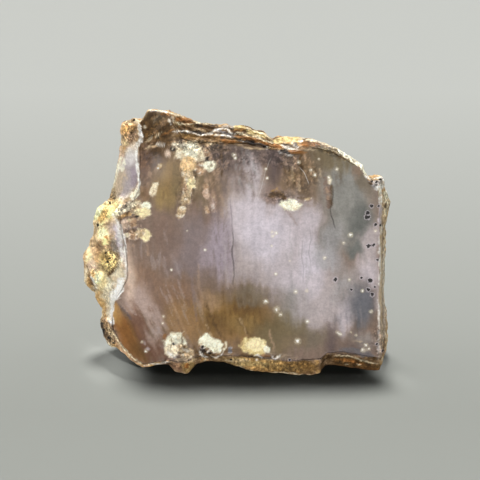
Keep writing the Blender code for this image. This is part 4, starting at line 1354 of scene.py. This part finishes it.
def paint_rind(paint, surface, x, y, where):
    """The rind: ochre, brown and cream, with painted shade in its pores and in the gaps of the layers
    along the top.
    """
    points, marks = surface.points, surface.marks
    seen = 1.0 - smooth_step(marks["turned"] / 0.5)
    left = seen * smooth_step((LEFT_RIND_X - x) / 20.0)
    foot = seen * smooth_step((y - FOOT_RIND_Y) / 8.0) * (1.0 - left)
    right = seen * smooth_step((x - RIGHT_RIND_X) / 8.0)
    tone = 0.7 * fractal(points, 6.0) + 0.6 * fractal(points, 1.8, 4)
    tone += 0.35 * left - 0.4 * foot + 0.2 * right
    paint.lay(ramp(tone, RIND_TONES), where)
    step = marks["share"] * LAYER_COUNT + 0.6 * wisps(x, y, 20.0, 6.0, 23)
    # Layer colours, with painted shade in the undercut gaps between the layers
    layers = ramp(step % 1.0 + 0.25 * fractal(points, 1.1), LAYER_TONES_AND_GAP_SHADE)
    paint.lay(layers, where * seen * 0.8 * smooth_step(marks["layered"] * 1.6 - 0.3))
    # Painted shade in the rind's pores
    paint.lay("umber", where * marks["lumpy"] * 0.8 * pores(points))
    glassy = 0.8 * fractal(points + 40.0, 7.0) + 0.4 * fractal(points, 2.0)
    paint.lay(ramp(glassy, BREAK_TONES), where * 0.85 * marks["broken"])


def mark_cracks(marks, x, y):
    """Each point's signed distance from the nearest crisp line, in its widths, and its force."""
    nearest = np.full(len(x), 1e6)
    for width, darkness, line in CRACKS:
        gap, along = line_place(x + 0.8 * wisps(x, y, 9.0, 9.0, 50), y, line)
        reach_out = np.abs(gap) / width
        force = darkness * taper(along) * (1.0 - smooth_step((reach_out - 2.5) / 2.0))
        closer = reach_out < nearest
        marks["crack"] = np.where(closer, gap / width, marks["crack"])
        marks["force"] = np.where(closer, force, marks["force"])
        nearest = np.minimum(nearest, reach_out)


def paint_stone(surface):
    """Every point's colour, and how it is crusted, marked with glints and pitted."""
    points, marks = surface.points, surface.marks
    x, y = seen_pixels(points)
    paint = Paint(len(points))
    front = 1.0 - smooth_step(marks["turned"] / EDGE_WRAP)
    face = (marks["off_rim"] <= 0.0).astype(float)
    side = np.where(marks["turned"] > 0.0, 1.0, smooth_step(marks["share"] / 0.1))
    paint_face(paint, x, y, 1.0 - side)
    paint_rind(paint, surface, x, y, side)
    wander = 2.5 * wisps(x, y, 7.0, 7.0, 24)
    paint.lay_zones(SIDE_ZONES, x + wander, y - wander, front * side, SIDE_SOFTNESS)
    paint.lay_flecks(x, y, front)
    paint.lay_strokes(FACE_STROKES, x, y, face)
    crumbs = wisps(x, y, 4.2, 4.2, 30)
    for row, cover in zip(GROWTHS, growth_cover(x, y)):
        paint.lay(row[0], front * cover)
        crumbly = front * cover * row[-1]
        paint.lay("white", crumbly * smooth_step((crumbs - 0.05) / 0.4))
        paint.lay("tan", crumbly * smooth_step((-crumbs - 0.15) / 0.4))
    for strokes in (TOP_STROKES, LEFT_STROKES, FOOT_STROKES, RIGHT_STROKES):
        paint.lay_strokes(strokes, x, y, front)
    crusty = side * (1.0 - 0.7 * marks["broken"]) * (1.0 - front * patch_cover(x, y, SMOOTH_PATCHES))
    marks["crust"] = np.maximum(marks["crust"], crusty)
    marks["porous"] = np.where(front > 0.0, patch_cover(x, y, POROUS_PATCHES), REAR_POROUS)
    marks["speckled"] = np.where(front > 0.0, patch_cover(x, y, SPECKLED_PATCHES), REAR_SPECKLE)
    # Painted shade in the crust's hollows and painted light on its bumps, by their relief
    painted_relief_shade = np.clip(marks["height"] / HOLLOW_DEPTH, -1.0, 1.0)
    paint.colour *= (1.0 + HOLLOW_SHADE * marks["crust"] * painted_relief_shade)[:, None]
    away = 9.0 * (1.0 - front)
    marks["glint"] = mark_reach(x, y, GLINTS) + away
    marks["pit"] = mark_reach(x, y, PITS) + away
    mark_cracks(marks, x, y)
    marks["force"] *= face
    return paint.colour


def to_linear(colour):
    """Colour values as light values."""
    colour = np.clip(colour, 0.0, 1.0)
    return np.where(colour < 0.04045, colour / 12.92, ((colour + 0.055) / 1.055) ** 2.4)


class Nodes:
    """Adds and joins the nodes of one material."""

    def __init__(self, material):
        material.use_nodes = True
        self.tree = material.node_tree
        self.shader = self.tree.nodes["Principled BSDF"]

    def add(self, kind, inputs, **settings):
        """Add a node. An input is a value, or the output of another node."""
        node = self.tree.nodes.new("ShaderNode" + kind)
        for name, value in settings.items():
            setattr(node, name, value)
        for name, value in inputs.items():
            self.put(node.inputs[name], value)
        return node

    def put(self, socket, value):
        if isinstance(value, bpy.types.NodeSocket):
            self.tree.links.new(value, socket)
        else:
            socket.default_value = value

    def attribute(self, name):
        return self.add("Attribute", {}, attribute_name=name).outputs

    def between(self, value, low, high, at_low, at_high):
        """Values that run smoothly from at_low to at_high while another goes from low to high."""
        sockets = {0: value, 1: low, 2: high, 3: at_low, 4: at_high}
        return self.add("MapRange", sockets, interpolation_type="SMOOTHSTEP").outputs[0]

    def maths(self, operation, first, second):
        return self.add("Math", {0: first, 1: second}, operation=operation).outputs[0]

    def mix(self, share, first, second, blend="MIX"):
        sockets = {0: share, 6: first, 7: second}
        return self.add("Mix", sockets, data_type="RGBA", blend_type=blend).outputs[2]

    def noise(self, place, size, detail):
        """Noise with grain of a given size in millimetres."""
        sockets = {"Vector": place, "Scale": 1.0 / (size * MM), "Detail": detail}
        return self.add("TexNoise", sockets).outputs[0]


def linear(name):
    """A palette colour for a node's socket."""
    return (*to_linear(shade(name)), 1.0)


CRUST_DARK = (0.74, 0.70, 0.64, 1.0)    # what the crust's grain multiplies its colour by
CRUST_LIGHT = (1.26, 1.27, 1.26, 1.0)
HOLE_SIZE = 0.75                        # millimetres
CRUMB_SIZE = 0.7                        # the light and dark crumbs of the speckled patches, with painted light and shade on each
CRUMB_SHAKE = 0.9                       # how far their borders stray


def make_material():
    """Glassy stone where it is broken, and porous crust elsewhere, over the painted colours."""
    material = bpy.data.materials.new("stone")
    nodes = Nodes(material)
    place = nodes.add("TexCoord", {}).outputs["Object"]
    tint, crust = nodes.attribute("tint")["Color"], nodes.attribute("crust")["Fac"]
    glint, pit = nodes.attribute("glint")["Fac"], nodes.attribute("pit")["Fac"]
    crack, force = nodes.attribute("crack")["Fac"], nodes.attribute("force")["Fac"]
    porous, speckled = nodes.attribute("porous")["Fac"], nodes.attribute("speckled")["Fac"]
    grain, speckle = nodes.noise(place, 1.1, 4.0), nodes.noise(place, 0.45, 3.0)

    wander = nodes.maths("ADD", nodes.maths("MULTIPLY", grain, 0.5), nodes.maths("MULTIPLY", speckle, 0.5))
    light = nodes.between(wander, 0.3, 0.7, 0.86, 1.14)
    brightness = nodes.add("CombineColor", {0: light, 1: light, 2: light}).outputs[0]
    glassy = nodes.mix(1.0, tint, brightness, "MULTIPLY")
    grainy = tint
    for value in (grain, speckle):
        light = nodes.between(value, 0.3, 0.7, 0.0, 1.0)
        grainy = nodes.mix(1.0, grainy, nodes.mix(light, CRUST_DARK, CRUST_LIGHT), "MULTIPLY")
    colour = nodes.mix(crust, glassy, grainy)
    # Painted shade: small dark holes in the porous patches
    hole_cells = nodes.add("TexVoronoi", {"Vector": place, "Scale": 1.0 / (HOLE_SIZE * MM)})
    ragged_cells = nodes.maths("ADD", hole_cells.outputs["Distance"], speckle)
    hole = nodes.maths("MULTIPLY", nodes.between(ragged_cells, 0.62, 0.9, 0.95, 0.0), porous)
    colour = nodes.mix(hole, colour, linear("umber"))
    shaky = nodes.add("TexNoise", {"Vector": place, "Scale": 1.0 / (CRUMB_SIZE * MM), "Detail": 2.0})
    sockets = {0: shaky.outputs[1], 1: [CRUMB_SHAKE * MM] * 3, 2: place}
    shaken = nodes.add("VectorMath", sockets, operation="MULTIPLY_ADD").outputs[0]
    crumbs = nodes.add("TexVoronoi", {"Vector": shaken, "Scale": 1.0 / (CRUMB_SIZE * MM)}).outputs
    chance = nodes.add("SeparateColor", {0: crumbs["Color"]}).outputs[0]
    # Each crumb gets a random tone, with painted light at its middle and painted shade at its border
    light = nodes.maths("MULTIPLY", nodes.between(chance, 0.0, 1.0, 0.4, 1.6), nodes.between(
        crumbs["Distance"], 0.2, 0.65, 1.2, 0.7
    ))
    colour = nodes.mix(speckled, colour, nodes.mix(1.0, colour, light, "MULTIPLY"))

    in_crack = nodes.between(nodes.maths("ABSOLUTE", crack, 0.0), 0.5, 1.3, 1.0, 0.0)
    ragged = nodes.maths("MULTIPLY", in_crack, nodes.between(speckle, 0.35, 0.5, 0.55, 1.0))
    for sign, name in ((1.0, "black"), (-1.0, "white")):
        share = nodes.maths("MULTIPLY", nodes.maths("MULTIPLY", force, sign), ragged)
        colour = nodes.mix(nodes.maths("MAXIMUM", share, 0.0), colour, linear(name))
    # Painted shade: black in each pit's hollow, inside a pale lilac ring
    ragged_pit = nodes.maths("ADD", pit, nodes.between(speckle, 0.3, 0.7, -0.35, 0.35))
    halo = nodes.between(ragged_pit, 1.2, 1.8, 0.6, 0.0)
    halo = nodes.maths("MULTIPLY", halo, nodes.maths("SUBTRACT", 1.0, crust))
    colour = nodes.mix(halo, colour, linear("lilac"))
    colour = nodes.mix(nodes.between(ragged_pit, 0.85, 1.2, 0.96, 0.0), colour, linear("black"))
    # Painted highlights: a white glint with a cream bloom round it
    ragged_glint = nodes.maths("ADD", glint, nodes.between(speckle, 0.3, 0.7, -0.3, 0.3))
    colour = nodes.mix(nodes.between(ragged_glint, 0.4, 1.8, 0.5, 0.0), colour, linear("cream"))
    colour = nodes.mix(nodes.between(ragged_glint, 0.3, 0.75, 1.0, 0.0), colour, linear("white"))

    height = nodes.maths("MULTIPLY", wander, nodes.between(crust, 0.0, 1.0, 0.06, 1.0))
    bump = nodes.add("Bump", {"Height": height, "Distance": 0.3 * MM, "Strength": 0.9})
    shader = nodes.shader
    nodes.put(shader.inputs["Base Color"], colour)
    nodes.put(shader.inputs["Roughness"], nodes.between(crust, 0.0, 1.0, 0.35, 0.85))
    shader.inputs["Specular IOR Level"].default_value = 0.3
    nodes.put(shader.inputs["Normal"], bump.outputs[0])
    shader.inputs["Subsurface Weight"].default_value = 0.12
    shader.inputs["Subsurface Radius"].default_value = (1.0, 0.8, 0.7)
    shader.inputs["Subsurface Scale"].default_value = 0.8 * MM
    return material


def make_stone():
    surface = build_surface(FACE_HALF)
    break_back(surface)
    x, y = seen_pixels(surface.points)
    crumbly = [cover * (0.4 + 0.6 * row[-1]) for row, cover in zip(GROWTHS, growth_cover(x, y))]
    surface.marks["crust"] = np.max(crumbly, axis=0) * (surface.marks["turned"] == 0.0)
    roughen(surface)
    colour = to_linear(paint_stone(surface))
    stand(surface)
    mesh = bpy.data.meshes.new("stone")
    mesh.from_pydata((surface.points * MM).tolist(), [], surface.faces)
    mesh.shade_smooth()
    tint = mesh.color_attributes.new("tint", "FLOAT_COLOR", "POINT")
    tint.data.foreach_set("color", np.column_stack([colour, np.ones(len(colour))]).ravel())
    for name in ("crust", "glint", "pit", "crack", "force", "porous", "speckled"):
        mark = mesh.attributes.new(name, "FLOAT", "POINT")
        mark.data.foreach_set("value", surface.marks[name])
    mesh.materials.append(make_material())
    stone = bpy.data.objects.new("stone", mesh)
    stone.visible_diffuse = False       # so that it throws no light into its own shadow
    bpy.context.scene.collection.objects.link(stone)
    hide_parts("chalcedony")
    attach(stone, "root")
    return stone


# The camera stands far off, so that the outlines keep the shape they were read in
CAMERA_DISTANCE = 1200.0
SENSOR_WIDTH = 36.0


def make_camera():
    """A camera in front of the stone, which frames it as the photograph does."""
    across = (AIM_PIXEL[0] - ZERO_PIXEL[0]) / PIXELS_PER_MM
    up = (ZERO_PIXEL[1] - AIM_PIXEL[1]) / PIXELS_PER_MM
    target = Vector(from_view(across, up, 0.0)) - Vector((MIDDLE_ACROSS, MIDDLE_DEPTH, 0.0))
    back = Vector((0.0, -math.cos(VIEW_TILT), math.sin(VIEW_TILT)))
    data = bpy.data.cameras.new("camera")
    data.sensor_width = SENSOR_WIDTH
    data.lens = SENSOR_WIDTH * CAMERA_DISTANCE * PIXELS_PER_MM / PICTURE_SIDE
    camera = bpy.data.objects.new("camera", data)
    camera.location = (target + back * CAMERA_DISTANCE) * MM
    camera.rotation_euler = (math.pi / 2.0 - VIEW_TILT, 0.0, 0.0)
    bpy.context.scene.collection.objects.link(camera)
    bpy.context.scene.camera = camera


FLOOR_RADIUS = 4.0                  # metres
FLOOR_NEAR = (0.34, 0.35, 0.32, 1.0)
FLOOR_FAR = (0.50, 0.51, 0.48, 1.0)
FLOOR_SHADE = (-45.0, 210.0)        # the depths between which the floor is painted lighter, as painted light
BACKDROP_COLOUR = (0.62, 0.63, 0.59, 1.0)
AMBIENT = 0.02                      # how strongly the backdrop lights the scene


def make_floor():
    """A plain pale floor, painted a little lighter behind the stone than in front of it as painted light.
    """
    bpy.ops.mesh.primitive_circle_add(vertices=96, radius=FLOOR_RADIUS, fill_type="NGON")
    floor = bpy.context.object
    floor.name = "floor"
    material = bpy.data.materials.new("floor")
    nodes = Nodes(material)
    place = nodes.add("TexCoord", {}).outputs["Object"]
    depth = nodes.add("SeparateXYZ", {0: place}).outputs[1]
    near, far = (value * MM for value in FLOOR_SHADE)
    ease = nodes.add("MapRange", {0: depth, 1: near, 2: far, 3: 0.0, 4: 1.0}).outputs[0]
    nodes.put(nodes.shader.inputs["Base Color"], nodes.mix(ease, FLOOR_NEAR, FLOOR_FAR))
    nodes.shader.inputs["Roughness"].default_value = 0.9
    nodes.shader.inputs["Specular IOR Level"].default_value = 0.1
    floor.data.materials.append(material)
    return floor


# Distant lights: name, strength, softness, how far round to the right, how high, and whether
# it lights the stone alone
SUNS = [
    ("key", 3.6, 13.0, 190.0, 70.3, False),
    ("left sky", 0.35, 60.0, 245.0, 35.0, False),
    ("right sky", 0.25, 60.0, 115.0, 35.0, False),
    ("fill", 2.6, 40.0, -15.0, 25.0, True),
    ("right", 0.7, 70.0, 100.0, 30.0, True),
    ("left", 0.4, 70.0, -110.0, 30.0, True),
    ("rear", 1.0, 70.0, 180.0, 20.0, True),
]

# Small lights on the floor alone: name, power, spread, then place and aim in millimetres
FLOOR_SPOTS = [
    ("left floor", 0.5, 8.0, (0.5, -90.0, 41.0), (-30.0, 5.0, 0.0)),
    ("far left floor", 0.35, 8.0, (-37.5, -93.0, 44.5), (-32.0, 8.0, 0.0)),
    ("right floor", 0.75, 5.6, (68.0, -96.0, 41.0), (38.8, 2.0, 0.0)),
]
SPOT_RADIUS = 2.5                   # millimetres


def make_sun(name, strength, softness, from_angles, receiver=None):
    """A soft distant light. Its angles are how far round to the right, and how high, it stands."""
    data = bpy.data.lights.new(name, "SUN")
    data.energy = strength
    data.angle = math.radians(softness)
    data.cycles.use_multiple_importance_sampling = False
    sun = bpy.data.objects.new(name, data)
    round_right, high = (math.radians(angle) for angle in from_angles)
    towards = Vector((
        math.sin(round_right) * math.cos(high),
        -math.cos(round_right) * math.cos(high),
        math.sin(high),
    ))
    sun.rotation_euler = towards.to_track_quat("Z", "Y").to_euler()
    bpy.context.scene.collection.objects.link(sun)
    if receiver:
        light_only(sun, receiver)


def make_spot(name, power, spread, place, aim, receiver):
    """A soft-edged light from one place to another, both across, depth and height, for one thing."""
    data = bpy.data.lights.new(name, "SPOT")
    data.energy = power
    data.spot_size = math.radians(spread)
    data.spot_blend = 1.0
    data.shadow_soft_size = SPOT_RADIUS * MM
    spot = bpy.data.objects.new(name, data)
    back = Vector(place) - Vector(aim)
    spot.location = (Vector(place) - Vector((MIDDLE_ACROSS, MIDDLE_DEPTH, 0.0))) * MM
    spot.rotation_euler = back.to_track_quat("Z", "Y").to_euler()
    bpy.context.scene.collection.objects.link(spot)
    light_only(spot, receiver)


def light_only(light, receiver):
    lit = bpy.data.collections.new(light.name + " receivers")
    lit.objects.link(receiver)
    light.light_linking.receiver_collection = lit


def make_world():
    """A pale backdrop for the eye that hardly lights the scene."""
    world = bpy.data.worlds.new("world")
    world.use_nodes = True
    tree = world.node_tree
    sky = tree.nodes["Background"]
    sky.inputs["Color"].default_value = BACKDROP_COLOUR
    rays = tree.nodes.new("ShaderNodeLightPath")
    ease = tree.nodes.new("ShaderNodeMapRange")
    ease.inputs[3].default_value = AMBIENT
    ease.inputs[4].default_value = 1.0
    tree.links.new(rays.outputs["Is Camera Ray"], ease.inputs[0])
    tree.links.new(ease.outputs[0], sky.inputs["Strength"])
    bpy.context.scene.world = world


def make_light(stone, floor):
    """Soft light from all round, more of it on the stone, and a little in the ground shadow."""
    for name, strength, softness, round_right, high, stone_only in SUNS:
        make_sun(name, strength, softness, (round_right, high), stone if stone_only else None)
    for name, power, spread, place, aim in FLOOR_SPOTS:
        make_spot(name, power, spread, place, aim, floor)
    bpy.context.scene.view_settings.view_transform = "Standard"


def main():
    make_camera()
    make_world()
    make_light(make_stone(), make_floor())


main()
